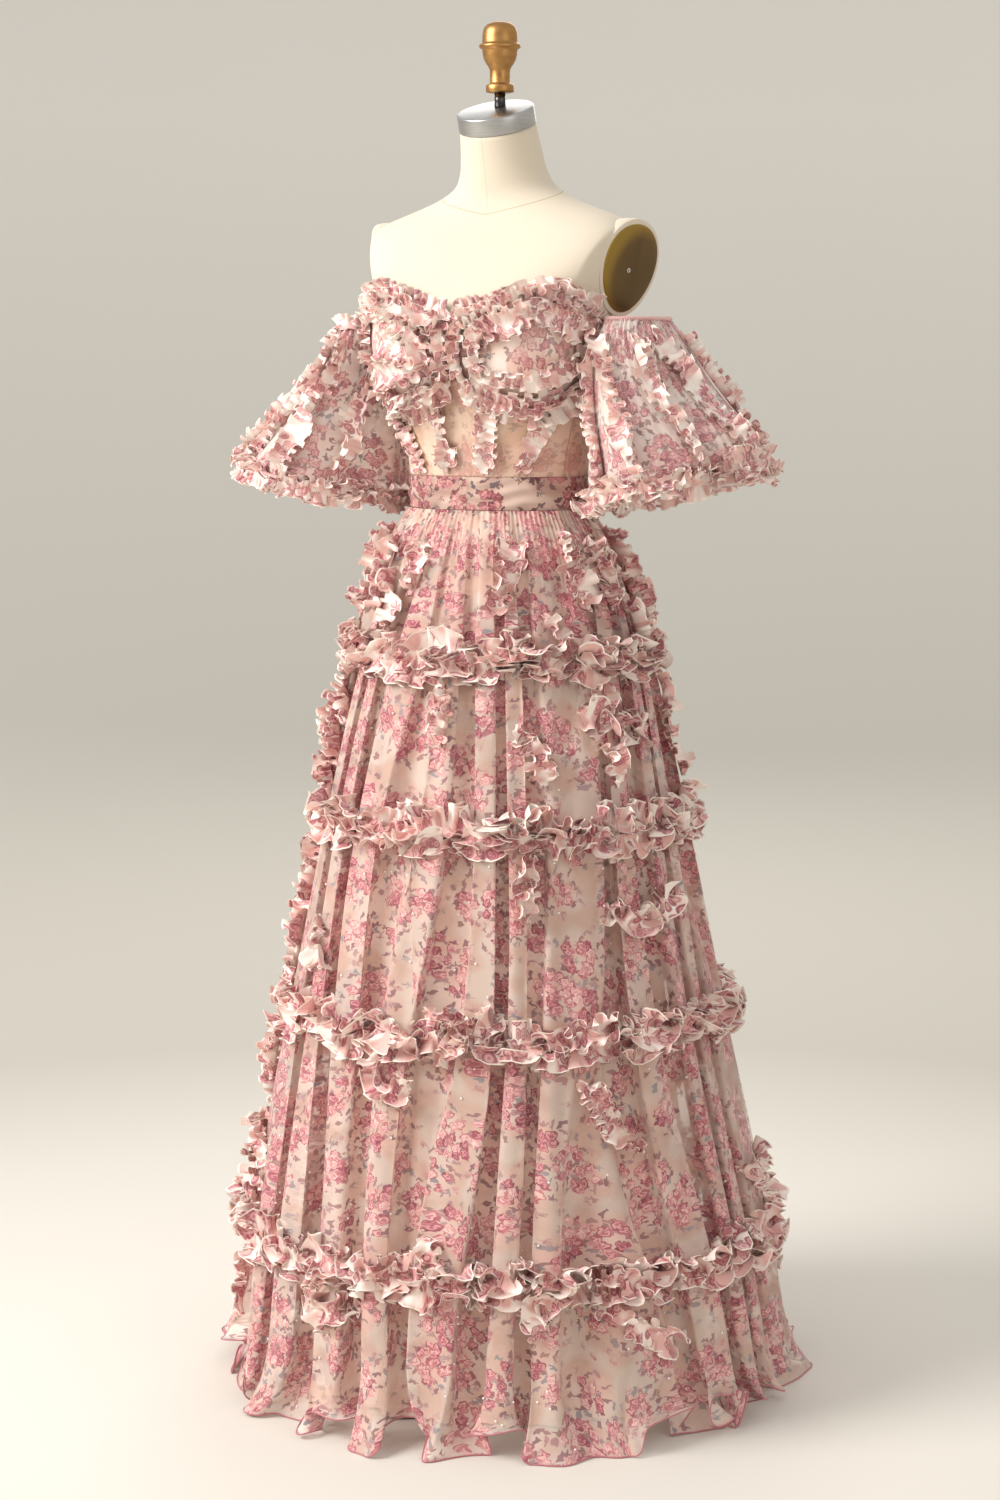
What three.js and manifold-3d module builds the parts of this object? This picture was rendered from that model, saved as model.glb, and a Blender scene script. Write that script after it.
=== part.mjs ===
// A floor-length off-the-shoulder prom dress on the limbless dress form that it rests on.
// Millimetres, +Z up. The front faces -Y, +X is the wearer's left, and the origin is the
// centre of the stand's underside on the floor. Cloth is a thin wall through horizontal
// rings. An angle around the body is in degrees: 0 at the centre front, 90 at +X, 180 at
// the centre back.
import * as THREE from "three";
import Module from "manifold-3d";
import { mergeVertices } from "three/addons/utils/BufferGeometryUtils.js";

const SEAM_GAP = 0.3; // between two pieces sewn edge to edge

// The dress form's rings: half width, depth to the front and to the back, where the
// ring's centre lies in Y, how square it is (2 is an ellipse) and its forward tilt.
const FORM_RINGS = [
  { z: 790, half: 154, front: 106, back: 116, y: 0, square: 2.1, tilt: 0 },
  { z: 880, half: 161, front: 110, back: 126, y: 0, square: 2.1, tilt: 0 },
  { z: 955, half: 159, front: 108, back: 122, y: 0, square: 2.1, tilt: 0 },
  { z: 1040, half: 143, front: 99, back: 104, y: 0, square: 2, tilt: 0 },
  { z: 1100, half: 118, front: 87, back: 85, y: -2, square: 2, tilt: 0 },
  { z: 1157, half: 116, front: 86, back: 82, y: -3, square: 2, tilt: 0 },
  { z: 1200, half: 118, front: 89, back: 84, y: -4, square: 2, tilt: 0 },
  { z: 1260, half: 129, front: 102, back: 90, y: -5, square: 2, tilt: 0 },
  { z: 1320, half: 141, front: 116, back: 96, y: -6, square: 2, tilt: 0 },
  { z: 1372, half: 149, front: 122, back: 101, y: -6, square: 2.1, tilt: 0 },
  { z: 1400, half: 160, front: 114, back: 103, y: -2, square: 2.3, tilt: 0 },
  { z: 1425, half: 172, front: 102, back: 104, y: 3, square: 2.6, tilt: 0 },
  { z: 1455, half: 180, front: 88, back: 100, y: 9, square: 2.8, tilt: 0 },
  { z: 1480, half: 179, front: 73, back: 92, y: 14, square: 2.6, tilt: 0 },
  { z: 1496, half: 160, front: 63, back: 82, y: 17, square: 2.3, tilt: 0 },
  { z: 1508, half: 132, front: 57, back: 72, y: 18, square: 2.1, tilt: 0 },
  { z: 1522, half: 100, front: 53, back: 64, y: 17, square: 2, tilt: 2 },
  { z: 1538, half: 74, front: 51, back: 57, y: 14, square: 2, tilt: 6 },
  { z: 1556, half: 60, front: 51, back: 54, y: 10, square: 2, tilt: 10 },
  { z: 1580, half: 53, front: 50, back: 51, y: 4, square: 2, tilt: 15 },
  { z: 1613, half: 48, front: 48, back: 48, y: -6, square: 2, tilt: 19 },
];
const FORM_SIDES = 48;
const FORM_STEP = 26; // the most height between two rings before one is put between them
const NECK_CAP = { radius: 49, thick: 23, tilt: 19, bevel: 1.6, sides: 48 };
// Tilt leans an arm plate's face downward and toe turns it toward the front.
const ARM_PLATE = {
  x: 168, y: 20, z: 1437, halfHeight: 58, halfDepth: 57, thick: 5, tilt: 14, toe: 12,
};
const POLE = { radius: 14, sides: 24 };
const CAP_ROD = { radius: 7, top: 1656, length: 80 };
const FINIAL_SIDES = 32;
// The turned finial, from its foot flange to its dome: radius and height above the foot.
const FINIAL_PROFILE = [
  { radius: 18, up: 0 },
  { radius: 18, up: 5 },
  { radius: 13, up: 9 },
  { radius: 12.5, up: 24 },
  { radius: 15, up: 29 },
  { radius: 23, up: 36 },
  { radius: 24, up: 54 },
  { radius: 27, up: 57 },
  { radius: 27, up: 63 },
  { radius: 24, up: 66 },
  { radius: 22, up: 76 },
  { radius: 16, up: 83 },
  { radius: 8, up: 87 },
];
// The stand's round base, from its underside to the top of the collar that holds the pole.
const BASE_PROFILE = [
  { radius: 186, up: 0 },
  { radius: 190, up: 4 },
  { radius: 190, up: 10 },
  { radius: 184, up: 14 },
  { radius: 48, up: 22 },
  { radius: 30, up: 28 },
  { radius: 26, up: 62 },
];
const BASE_SIDES = 48;
const BEYOND = 400; // wider than the form, for blocks that cut it

// How far the bodice's inner face stands off the form, and its cloth.
const BODICE = { ease: 1.6, thick: 2, bottom: 1178 };
// Top edge of the gown by angle from the centre front, the same on both sides.
const NECKLINE = [
  { at: 0, z: 1376 },
  { at: 14, z: 1386 },
  { at: 30, z: 1405 },
  { at: 44, z: 1414 },
  { at: 60, z: 1402 },
  { at: 74, z: 1386 },
  { at: 80, z: 1377 },
  { at: 90, z: 1370 },
  { at: 120, z: 1366 },
  { at: 150, z: 1359 },
  { at: 180, z: 1352 },
];
// Seam under the cups, from the centre front to the cup's side.
const UNDER_CUP = [
  { at: 0, z: 1300 },
  { at: 14, z: 1279 },
  { at: 34, z: 1262 },
  { at: 50, z: 1263 },
  { at: 62, z: 1275 },
  { at: 73.4, z: 1296 },
];
// The cup ends at the side seam, whose angle grows from the waist to the top edge. bulge is
// how far it stands out and topBulge how much of that is left at its top edge. round and
// full are the powers that blunt its crown across and up, and droop sets it below half way.
const CUP = {
  side: 73.4, sideTop: 78, bulge: 24, topBulge: 3, round: 0.75, full: 0.8, droop: 0.72,
};
const CUP_COLUMNS = [0, 7, 14, 24, 34, 44, 53, 62, 68, 73.4];
const BODICE_ROWS = 4;
// Bodice panels of the wearer's left half: the angles of their columns at the top edge and
// at the waist. The centre panel crosses the centre front.
const PANELS = [
  { name: "side_front", top: [14, 24, 34, 44, 53, 62], waist: [12, 16, 20, 24, 27.5, 31] },
  { name: "side", top: [62, 68, 73.4], waist: [31, 49, 67] },
  {
    name: "back",
    top: [78, 86, 96, 110, 124, 138, 152, 166, 180],
    waist: [67, 80, 94, 109, 124, 138, 152, 166, 180],
  },
];
const CENTRE_PANEL = { top: [-14, -7, 0, 7, 14], waist: [-12, -6, 0, 6, 12] };

const NARROWEST = 85; // the least radius of the gown, at its waist

// The waistband, with how far each of its soft folds stands out, from the bottom up.
const BAND = { top: 1178, bottom: 1136, thick: 2.5, folds: [0, 1.6, 0.2, 1.4, 0] };

// The printed tulle skirt. Each row is a ring: half width, depth front and back, its centre
// in Y and how deep its gathers are. A tier starts where seam is true.
const SKIRT_RINGS = [
  { z: 1136, half: 120, front: 90, back: 86.5, y: -3, fold: 1.5, seam: true },
  { z: 1085, half: 146, front: 112, back: 118, y: 0, fold: 8, seam: false },
  { z: 952, half: 185, front: 158, back: 166, y: 4, fold: 10, seam: true },
  { z: 741, half: 226, front: 214, back: 224, y: 8, fold: 12, seam: true },
  { z: 491, half: 272, front: 262, back: 276, y: 12, fold: 14, seam: true },
  { z: 204, half: 328, front: 318, back: 336, y: 14, fold: 17, seam: true },
  { z: 45, half: 352, front: 342, back: 362, y: 16, fold: 19, seam: false },
  { z: 0, half: 364, front: 354, back: 376, y: 18, fold: 20, seam: true },
];
const TULLE = { thick: 1.5, columns: 56 };
const GATHER = [1, 0.5, 0, 0.5]; // one fold, over four columns, from crest to crest
// A frill's waves differ: how far one stands out, as a share of the deepest.
const waveShare = (i) => 0.75 + 0.25 * Math.sin(1.7 * i);

// The plain slip under the tulle.
const SLIP_RINGS = [
  { z: 1136, half: 118, front: 88, back: 84.5, y: -3, fold: 0 },
  { z: 1040, half: 150, front: 116, back: 124, y: 0, fold: 3 },
  { z: 950, half: 166, front: 138, back: 148, y: 4, fold: 6 },
  { z: 55, half: 276, front: 266, back: 284, y: 12, fold: 12 },
];
const SLIP = { thick: 1.5, columns: 32 };

// One puffed sleeve, from its elastic top edge down to its mouth: the ring's centre, half
// width in X, half depth in Y, and how far its outer side is lifted.
const SLEEVE_RINGS = [
  { x: 189, y: 6, z: 1373, half: 33, depth: 66, lift: 0, puff: 0 },
  { x: 194, y: 2, z: 1350, half: 47, depth: 86, lift: 3, puff: 3 },
  { x: 205, y: -2, z: 1305, half: 63, depth: 104, lift: 8, puff: 5 },
  { x: 221, y: -5, z: 1255, half: 81, depth: 116, lift: 12, puff: 6 },
  { x: 238, y: -5, z: 1208, half: 97, depth: 121, lift: 14, puff: 7 },
  { x: 245, y: -4, z: 1170, half: 103, depth: 118, lift: 14, puff: 7 },
  { x: 245, y: -2, z: 1146, half: 94, depth: 106, lift: 14, puff: 8 },
];
const SLEEVE = { thick: 1.5, columns: 20, lobes: 5, offBody: 3 };

// Frills: half their width, how far their edges stand out and how far off the cloth they lie.
const FRILL_THICK = 1.4;
const BONE_FRILL = { half: 8, deep: 6, lift: 0.9 };
const UNDER_CUP_FRILL = { half: 7, deep: 5, lift: 0.05 };
const SOFT_FRILL = { half: 8, deep: 6, lift: 0.6 };
const SLANT_FRILL = { half: 18, deep: 6, lift: 0.7 };
const TIER_FRILL = { half: 18, deepTop: 4, deepBottom: 12, lift: 0.7 };

// Frills up the bodice's boning: the angle and height of both ends.
const BONE_LINES = [
  { name: "inner", angle: 12.3, toAngle: 13.8, z: 1185, toZ: 1268, steps: 7 },
  { name: "outer", angle: 31.5, toAngle: 59, z: 1185, toZ: 1264, steps: 7 },
  { name: "back", angle: 146, toAngle: 138, z: 1185, toZ: 1352, steps: 11 },
];
// Frills across a cup: the angle of both ends, the share of the cup's height, and an offset.
const CUP_LINES = [
  { name: "cup_frill_under", from: 5, to: 70, up: 0, off: 9, steps: 10, cut: UNDER_CUP_FRILL },
  { name: "cup_frill_over", from: 8, to: 68, up: 0.55, off: 0, steps: 9, cut: SOFT_FRILL },
  { name: "neckline_frill", from: 4, to: 73, up: 1, off: -10, steps: 11, cut: SOFT_FRILL },
];
// Frills slanting over the skirt's gathers, from one of its columns to another.
const SLANT_LINES = [
  { name: "slant_frill_hip", from: 2, to: 6, z: 1005, toZ: 1062 },
  { name: "slant_frill_upper", from: 8, to: 13, z: 895, toZ: 860 },
  { name: "slant_frill_middle", from: 8, to: 13, z: 615, toZ: 660 },
  { name: "slant_frill_low", from: 7, to: 12, z: 435, toZ: 365 },
];
// Frills down the crests of a sleeve's lobes, from one share of its length to another.
const SLEEVE_LINES = [
  { name: "sleeve_frill_front", lobe: 0 },
  { name: "sleeve_frill_outer", lobe: 1 },
];
const SLEEVE_FRILL = { top: 1 / 6, bottom: 5 / 6, steps: 8 };

// The zip's slider, with two ears that hold a pin, and the pull tab that hangs on it.
const ZIP = { z: 1336, wide: 8, tall: 12, thick: 2.2, pinOut: 2.6, pin: 0.7 };
const EAR = { thick: 1, gap: 4.2, tall: 3, past: 1.4, root: 0.4 };
const PULL = { eye: 2, bore: 1.05, wide: 3.4, plate: 1.2, length: 20, tipWide: 7 };

const FINISH = {
  canvas: { color: "#f6eedb", roughness: 0.85, metalness: 0 },
  steel: { color: "#c9cacb", roughness: 0.35, metalness: 1 },
  darkSteel: { color: "#4a4744", roughness: 0.4, metalness: 1 },
  gold: { color: "#b08450", roughness: 0.35, metalness: 1 },
  bronze: { color: "#6f5f30", roughness: 0.45, metalness: 1 },
  print: { color: "#e3b9b4", roughness: 0.8, metalness: 0 },
  sheer: { color: "#e9cdb9", roughness: 0.75, metalness: 0 },
  slip: { color: "#f0d9cb", roughness: 0.6, metalness: 0 },
  frill: { color: "#e9c6bf", roughness: 0.85, metalness: 0 },
  zip: { color: "#d8b7ac", roughness: 0.4, metalness: 0.2 },
};

const wasm = await Module();
wasm.setup();
const dress = new THREE.Group();
const UP = new THREE.Vector3(0, 0, 1);
const rad = THREE.MathUtils.degToRad;
const lerp = THREE.MathUtils.lerp;

function add(name, geometry, finish) {
  geometry.computeVertexNormals();
  const mesh = new THREE.Mesh(geometry, new THREE.MeshStandardMaterial(FINISH[finish]));
  mesh.name = name;
  dress.add(mesh);
  return mesh;
}

function toSolid(geometry) {
  const bare = geometry.clone();
  bare.deleteAttribute("normal");
  bare.deleteAttribute("uv");
  const merged = mergeVertices(bare, 1e-4);
  return new wasm.Manifold(
    new wasm.Mesh({
      numProp: 3,
      vertProperties: new Float32Array(merged.attributes.position.array),
      triVerts: new Uint32Array(merged.index.array),
    }),
  );
}

function fromSolid(solid) {
  const mesh = solid.getMesh();
  const geometry = new THREE.BufferGeometry();
  geometry.setAttribute("position", new THREE.BufferAttribute(mesh.vertProperties, 3));
  geometry.setIndex(new THREE.BufferAttribute(mesh.triVerts, 1));
  return geometry;
}

// Value of a table's column between its rows, straight from row to row.
function along(table, key, at, column) {
  const rising = table[0][key] < table[table.length - 1][key];
  const beyond = (row) => (rising ? row[key] >= at : row[key] <= at);
  const next = Math.max(1, table.findIndex(beyond));
  const [a, b] = [table[next - 1], table[next]];
  return lerp(a[column], b[column], (at - a[key]) / (b[key] - a[key]));
}

// The same, as a smooth curve through the rows.
function smooth(table, key, at, column) {
  let i = table.findIndex((row) => row[key] >= at);
  i = Math.min(Math.max(i, 1), table.length - 1);
  const slope = (k) => {
    const lo = table[Math.max(k - 1, 0)];
    const hi = table[Math.min(k + 1, table.length - 1)];
    return (hi[column] - lo[column]) / (hi[key] - lo[key]);
  };
  const [a, b] = [table[i - 1], table[i]];
  const span = b[key] - a[key];
  const t = (at - a[key]) / span;
  const rise = t * t * (3 - 2 * t);
  const leave = t * (1 - t) * (1 - t) * span * slope(i - 1);
  const arrive = t * t * (t - 1) * span * slope(i);
  return a[column] + rise * (b[column] - a[column]) + leave + arrive;
}

// A ring's point at an angle, moved out level by out. The way out is square to the ring.
function ringPoint(ring, angle, out = 0) {
  const s = Math.sin(rad(angle));
  const c = Math.cos(rad(angle));
  const depth = c > 0 ? ring.front : ring.back;
  const power = 2 / (ring.square ?? 2);
  const bend = (v) => Math.sign(v) * Math.abs(v) ** power;
  const way = new THREE.Vector3(s / ring.half, -c / depth, 0).normalize();
  return new THREE.Vector3(ring.half * bend(s), ring.y - depth * bend(c), ring.z).addScaledVector(
    way,
    out,
  );
}

function formRing(z) {
  const ring = { z };
  for (const column of ["half", "front", "back", "y", "square", "tilt"])
    ring[column] = smooth(FORM_RINGS, "z", z, column);
  return ring;
}

// Closed body between two grids of points, grid[row][column]. Rows go up and columns go
// round to the left, so that the first grid faces out. closed joins the last column to the
// first.
function wallBetween(outer, inner, closed = false) {
  const rows = outer.length;
  const columns = outer[0].length;
  const points = [...outer.flat(), ...inner.flat()];
  const index = [];
  const O = (i, j) => j * columns + (i % columns);
  const I = (i, j) => rows * columns + O(i, j);
  // A square is split along its shorter diagonal, so that a skewed one doesn't turn over.
  const quad = (a, b, c, d) => {
    const short = points[a].distanceTo(points[c]) <= points[b].distanceTo(points[d]);
    index.push(...(short ? [a, b, c, a, c, d] : [b, c, d, b, d, a]));
  };
  const last = closed ? columns : columns - 1;
  for (let i = 0; i < last; i += 1) {
    for (let j = 0; j < rows - 1; j += 1) {
      quad(O(i, j), O(i + 1, j), O(i + 1, j + 1), O(i, j + 1));
      quad(I(i, j), I(i, j + 1), I(i + 1, j + 1), I(i + 1, j));
    }
    const top = rows - 1;
    quad(O(i + 1, 0), O(i, 0), I(i, 0), I(i + 1, 0));
    quad(O(i, top), O(i + 1, top), I(i + 1, top), I(i, top));
  }
  for (let j = 0; j < rows - 1 && !closed; j += 1) {
    quad(O(0, j), O(0, j + 1), I(0, j + 1), I(0, j));
    quad(O(last, j + 1), O(last, j), I(last, j), I(last, j + 1));
  }
  const geometry = new THREE.BufferGeometry().setFromPoints(points);
  geometry.setIndex(index);
  return geometry;
}

// Angles moved apart so that two panels that share an edge keep half a seam gap each.
function eased(angle, side, radius) {
  return angle + (side * THREE.MathUtils.radToDeg(SEAM_GAP / 2)) / radius;
}

// ---- dress form ----------------------------------------------------------------------

function loftSolid(rings) {
  const points = [];
  for (const ring of rings) {
    const centre = new THREE.Vector3(0, ring.y, ring.z);
    for (let i = 0; i < FORM_SIDES; i += 1) {
      const p = ringPoint(ring, (360 * i) / FORM_SIDES).sub(centre);
      p.applyAxisAngle(new THREE.Vector3(1, 0, 0), rad(ring.tilt)).add(centre);
      points.push(p);
    }
  }
  const index = [];
  const at = (i, j) => j * FORM_SIDES + (i % FORM_SIDES);
  const bottom = points.length;
  const top = bottom + 1;
  const [first, final] = [rings[0], rings[rings.length - 1]];
  points.push(new THREE.Vector3(0, first.y, first.z), new THREE.Vector3(0, final.y, final.z));
  for (let i = 0; i < FORM_SIDES; i += 1) {
    for (let j = 0; j < rings.length - 1; j += 1)
      index.push(at(i, j), at(i + 1, j), at(i + 1, j + 1), at(i, j), at(i + 1, j + 1), at(i, j + 1));
    index.push(bottom, at(i + 1, 0), at(i, 0));
    index.push(top, at(i, rings.length - 1), at(i + 1, rings.length - 1));
  }
  const geometry = new THREE.BufferGeometry().setFromPoints(points);
  geometry.setIndex(index);
  return geometry;
}

// Places a shape made around the arm plate's own axis (+X out) on one side of the form.
function onArmPlate(geometry, side) {
  geometry.rotateY(rad(ARM_PLATE.tilt));
  geometry.rotateZ(-rad(ARM_PLATE.toe));
  geometry.translate(ARM_PLATE.x, ARM_PLATE.y, ARM_PLATE.z);
  if (side < 0) {
    geometry.scale(-1, 1, 1);
    const index = geometry.index.array;
    for (let k = 0; k < index.length; k += 3) [index[k], index[k + 1]] = [index[k + 1], index[k]];
  }
  return geometry;
}

function makeTorso() {
  const levels = [];
  for (const [k, ring] of FORM_RINGS.entries()) {
    levels.push(ring.z);
    const next = FORM_RINGS[k + 1];
    if (next && next.z - ring.z > FORM_STEP) levels.push((ring.z + next.z) / 2);
  }
  let torso = toSolid(loftSolid(levels.map(formRing)));
  for (const side of [1, -1]) {
    const block = mergeVertices(bareBox(BEYOND).translate(BEYOND / 2, 0, 0), 1e-4);
    torso = torso.subtract(toSolid(onArmPlate(block, side)));
  }
  return fromSolid(torso);
}

function bareBox(size) {
  const box = new THREE.BoxGeometry(size, size, size);
  box.deleteAttribute("normal");
  box.deleteAttribute("uv");
  return box;
}

function makeArmPlate(side) {
  const rim = new THREE.Shape().absellipse(
    0, 0, ARM_PLATE.halfDepth, ARM_PLATE.halfHeight, 0, 2 * Math.PI, false, 0,
  );
  const bevel = 1.2;
  const plate = new THREE.ExtrudeGeometry(rim, {
    depth: ARM_PLATE.thick - 2 * bevel,
    bevelThickness: bevel,
    bevelSize: bevel,
    bevelOffset: -bevel,
    bevelSegments: 1,
    curveSegments: 40,
  });
  plate.translate(0, 0, bevel);
  plate.rotateX(Math.PI / 2);
  plate.rotateZ(Math.PI / 2);
  plate.translate(SEAM_GAP, 0, 0);
  plate.deleteAttribute("normal");
  plate.deleteAttribute("uv");
  return onArmPlate(mergeVertices(plate, 1e-3), side);
}

function neckTop(up) {
  const ring = FORM_RINGS[FORM_RINGS.length - 1];
  const way = new THREE.Vector3(0, 0, 1).applyAxisAngle(
    new THREE.Vector3(1, 0, 0), rad(NECK_CAP.tilt),
  );
  return new THREE.Vector3(0, ring.y, ring.z).addScaledVector(way, up);
}

function makeNeckCap() {
  const { radius, thick, bevel, sides, tilt } = NECK_CAP;
  const outline = [
    [0, 0],
    [radius - bevel, 0],
    [radius, bevel],
    [radius, thick - bevel],
    [radius - bevel, thick],
    [0, thick],
  ].map(([x, y]) => new THREE.Vector2(x, y));
  const cap = new THREE.LatheGeometry(outline, sides);
  cap.rotateX(Math.PI / 2);
  cap.rotateX(rad(tilt));
  const seat = neckTop(SEAM_GAP);
  cap.translate(seat.x, seat.y, seat.z);
  return cap;
}

function makeCapRod() {
  const { radius, length, top } = CAP_ROD;
  const rod = new THREE.CylinderGeometry(radius, radius, length, 24);
  rod.rotateX(Math.PI / 2);
  rod.translate(0, 0, top - length / 2);
  const below = bareBox(BEYOND).translate(0, 0, -BEYOND / 2);
  below.rotateX(rad(NECK_CAP.tilt));
  const seat = neckTop(NECK_CAP.thick + 2 * SEAM_GAP);
  below.translate(seat.x, seat.y, seat.z);
  return fromSolid(toSolid(rod).subtract(toSolid(below)));
}

function lathe(rows, sides, foot) {
  const outline = rows.map((row) => new THREE.Vector2(row.radius, row.up));
  outline.unshift(new THREE.Vector2(0, rows[0].up));
  outline.push(new THREE.Vector2(0, rows[rows.length - 1].up));
  const turned = new THREE.LatheGeometry(outline, sides);
  turned.rotateX(Math.PI / 2);
  turned.translate(0, 0, foot);
  return turned;
}

function makeStand() {
  const poleFoot = BASE_PROFILE[BASE_PROFILE.length - 1].up + SEAM_GAP;
  const poleTop = FORM_RINGS[0].z - SEAM_GAP;
  const pole = new THREE.CylinderGeometry(
    POLE.radius, POLE.radius, poleTop - poleFoot, POLE.sides,
  );
  pole.rotateX(Math.PI / 2);
  pole.translate(0, 0, (poleTop + poleFoot) / 2);
  add("form_pole", pole, "steel");
  add("form_base", lathe(BASE_PROFILE, BASE_SIDES, 0), "steel");
}

// ---- bodice --------------------------------------------------------------------------

const topEdge = (angle) => smooth(NECKLINE, "at", Math.abs(angle), "z");
const underCup = (angle) => smooth(UNDER_CUP, "at", Math.min(Math.abs(angle), CUP.side), "z");

// How far the cup stands out of the bodice's own surface.
function cupBulge(angle, z) {
  const a = Math.abs(angle);
  const low = underCup(a);
  const up = (z - low) / (topEdge(a) - low);
  const across = a / lerp(CUP.side, CUP.sideTop, up);
  if (up <= 0 || across >= 1) return 0;
  const round = Math.sin(Math.PI * Math.min(across, 1)) ** CUP.round;
  const rise = Math.sin(Math.PI * Math.min(up, 1) ** CUP.droop) ** CUP.full;
  return round * (CUP.bulge * rise + CUP.topBulge * up);
}

// A point of the bodice's outer face, moved out by out.
function bodicePoint(angle, z, out = 0) {
  const off = BODICE.ease + BODICE.thick + out + cupBulge(angle, z);
  return ringPoint(formRing(z), angle, off);
}

function addPanel(name, topAngles, waistAngles, finish) {
  const inner = [];
  const outer = [];
  const end = topAngles.length - 1;
  for (let row = 0; row <= BODICE_ROWS; row += 1) {
    const t = row / BODICE_ROWS;
    const [inRow, outRow] = [[], []];
    for (const [i, topAngle] of topAngles.entries()) {
      const free = Math.abs(topAngle) > CUP.side + 1;
      const top = free ? topEdge(topAngle) : underCup(topAngle) - SEAM_GAP / 2;
      const z = lerp(BODICE.bottom + SEAM_GAP / 2, top, t);
      const side = i === 0 ? 1 : i === end ? -1 : 0;
      const angle = eased(lerp(waistAngles[i], topAngle, t), side, NARROWEST);
      const ring = formRing(z);
      inRow.push(ringPoint(ring, angle, BODICE.ease));
      outRow.push(ringPoint(ring, angle, BODICE.ease + BODICE.thick));
    }
    inner.push(inRow);
    outer.push(outRow);
  }
  add(name, wallBetween(outer, inner), finish);
}

function mirrored(angles) {
  return [...angles].reverse().map((angle) => -angle);
}

const CUP_ROWS = 5;

function addCup(name, side) {
  const angles = side > 0 ? CUP_COLUMNS : mirrored(CUP_COLUMNS);
  const inner = [];
  const outer = [];
  for (let row = 0; row <= CUP_ROWS; row += 1) {
    const t = row / CUP_ROWS;
    const [inRow, outRow] = [[], []];
    for (const base of angles) {
      const size = Math.abs(base);
      const atSide = size === CUP.side;
      const angle = size + (atSide ? t * (CUP.sideTop - CUP.side) : 0);
      const way = atSide ? -1 : size === 0 ? 1 : 0;
      const low = underCup(size) + SEAM_GAP / 2;
      const z = lerp(low, topEdge(atSide ? CUP.sideTop : size), t);
      const bulge = atSide || size === 0 ? 0 : cupBulge(size, z);
      const placed = side * eased(angle, way, NARROWEST);
      const ring = formRing(z);
      inRow.push(ringPoint(ring, placed, BODICE.ease + bulge));
      outRow.push(ringPoint(ring, placed, BODICE.ease + BODICE.thick + bulge));
    }
    inner.push(inRow);
    outer.push(outRow);
  }
  add(name, wallBetween(outer, inner), "print");
}

function addBand(name, from, to, steps) {
  const inner = [];
  const outer = [];
  const rows = BAND.folds.length - 1;
  for (const [row, fold] of BAND.folds.entries()) {
    const z = lerp(BAND.bottom + SEAM_GAP / 2, BAND.top - SEAM_GAP / 2, row / rows);
    const ring = formRing(z);
    const [inRow, outRow] = [[], []];
    for (let i = 0; i <= steps; i += 1) {
      const side = i === 0 ? 1 : i === steps ? -1 : 0;
      const angle = eased(lerp(from, to, i / steps), side, NARROWEST);
      inRow.push(ringPoint(ring, angle, BODICE.ease));
      outRow.push(ringPoint(ring, angle, BODICE.ease + BAND.thick + fold));
    }
    inner.push(inRow);
    outer.push(outRow);
  }
  add(name, wallBetween(outer, inner), "print");
}

// ---- skirt and slip ------------------------------------------------------------------

// The gathers are uneven: a column's angle drifts from an even spacing, except at the
// centre front, the centre back and the side seams.
function columnAngle(column, columns) {
  const even = (360 * column) / columns;
  return even + 1.5 * Math.sin(rad(4 * even)) + 0.8 * Math.sin(rad(6 * even));
}

function clothPoint(rings, cloth, column, z, out = 0) {
  const ring = { z };
  for (const name of ["half", "front", "back", "y", "fold"])
    ring[name] = along(rings, "z", z, name);
  const angle = columnAngle(column, cloth.columns);
  const depth = 0.8 + 0.2 * Math.sin(rad(5 * angle + 40)); // some folds are deeper than others
  const crest = GATHER[((column % 4) + 4) % 4] * depth;
  return ringPoint(ring, angle, out + crest * ring.fold);
}

const skirtPoint = (column, z, out) => clothPoint(SKIRT_RINGS, TULLE, column, z, out);
const slipPoint = (column, z, out) => clothPoint(SLIP_RINGS, SLIP, column, z, out);

// Half of a ring-shaped cloth, from one side seam to the other.
function addHalf(name, point, cloth, levels, first, finish) {
  const count = cloth.columns / 2;
  const grid = (out) =>
    levels.map((z) => {
      const row = [];
      for (let i = 0; i <= count; i += 1) {
        const p = point(first + i, z, out);
        const side = i === 0 ? 1 : i === count ? -1 : 0;
        const turn = (side * SEAM_GAP) / 2 / Math.hypot(p.x, p.y);
        row.push(p.applyAxisAngle(UP, turn));
      }
      return row;
    });
  add(name, wallBetween(grid(cloth.thick), grid(0)), finish);
}

function tiers() {
  const list = [];
  let levels = [SKIRT_RINGS[0].z];
  for (const ring of SKIRT_RINGS.slice(1)) {
    levels.push(ring.z);
    if (ring.seam) {
      list.push(levels);
      levels = [ring.z];
    }
  }
  return list;
}

function addSkirt() {
  const all = tiers();
  for (const [k, levels] of all.entries()) {
    const low = k === all.length - 1 ? 0 : SEAM_GAP / 2;
    const trimmed = levels.map((z, i) => {
      if (i === 0) return z - SEAM_GAP / 2;
      return i === levels.length - 1 ? z + low : z;
    });
    trimmed.reverse();
    const quarter = TULLE.columns / 4;
    addHalf(`skirt_tier_${k + 1}_front`, skirtPoint, TULLE, trimmed, -quarter, "print");
    addHalf(`skirt_tier_${k + 1}_back`, skirtPoint, TULLE, trimmed, quarter, "print");
  }
  const slipLevels = SLIP_RINGS.map((ring, i) => ring.z - (i === 0 ? SEAM_GAP / 2 : 0)).reverse();
  addHalf("slip_front", slipPoint, SLIP, slipLevels, -SLIP.columns / 4, "slip");
  addHalf("slip_back", slipPoint, SLIP, slipLevels, SLIP.columns / 4, "slip");
}

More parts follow.
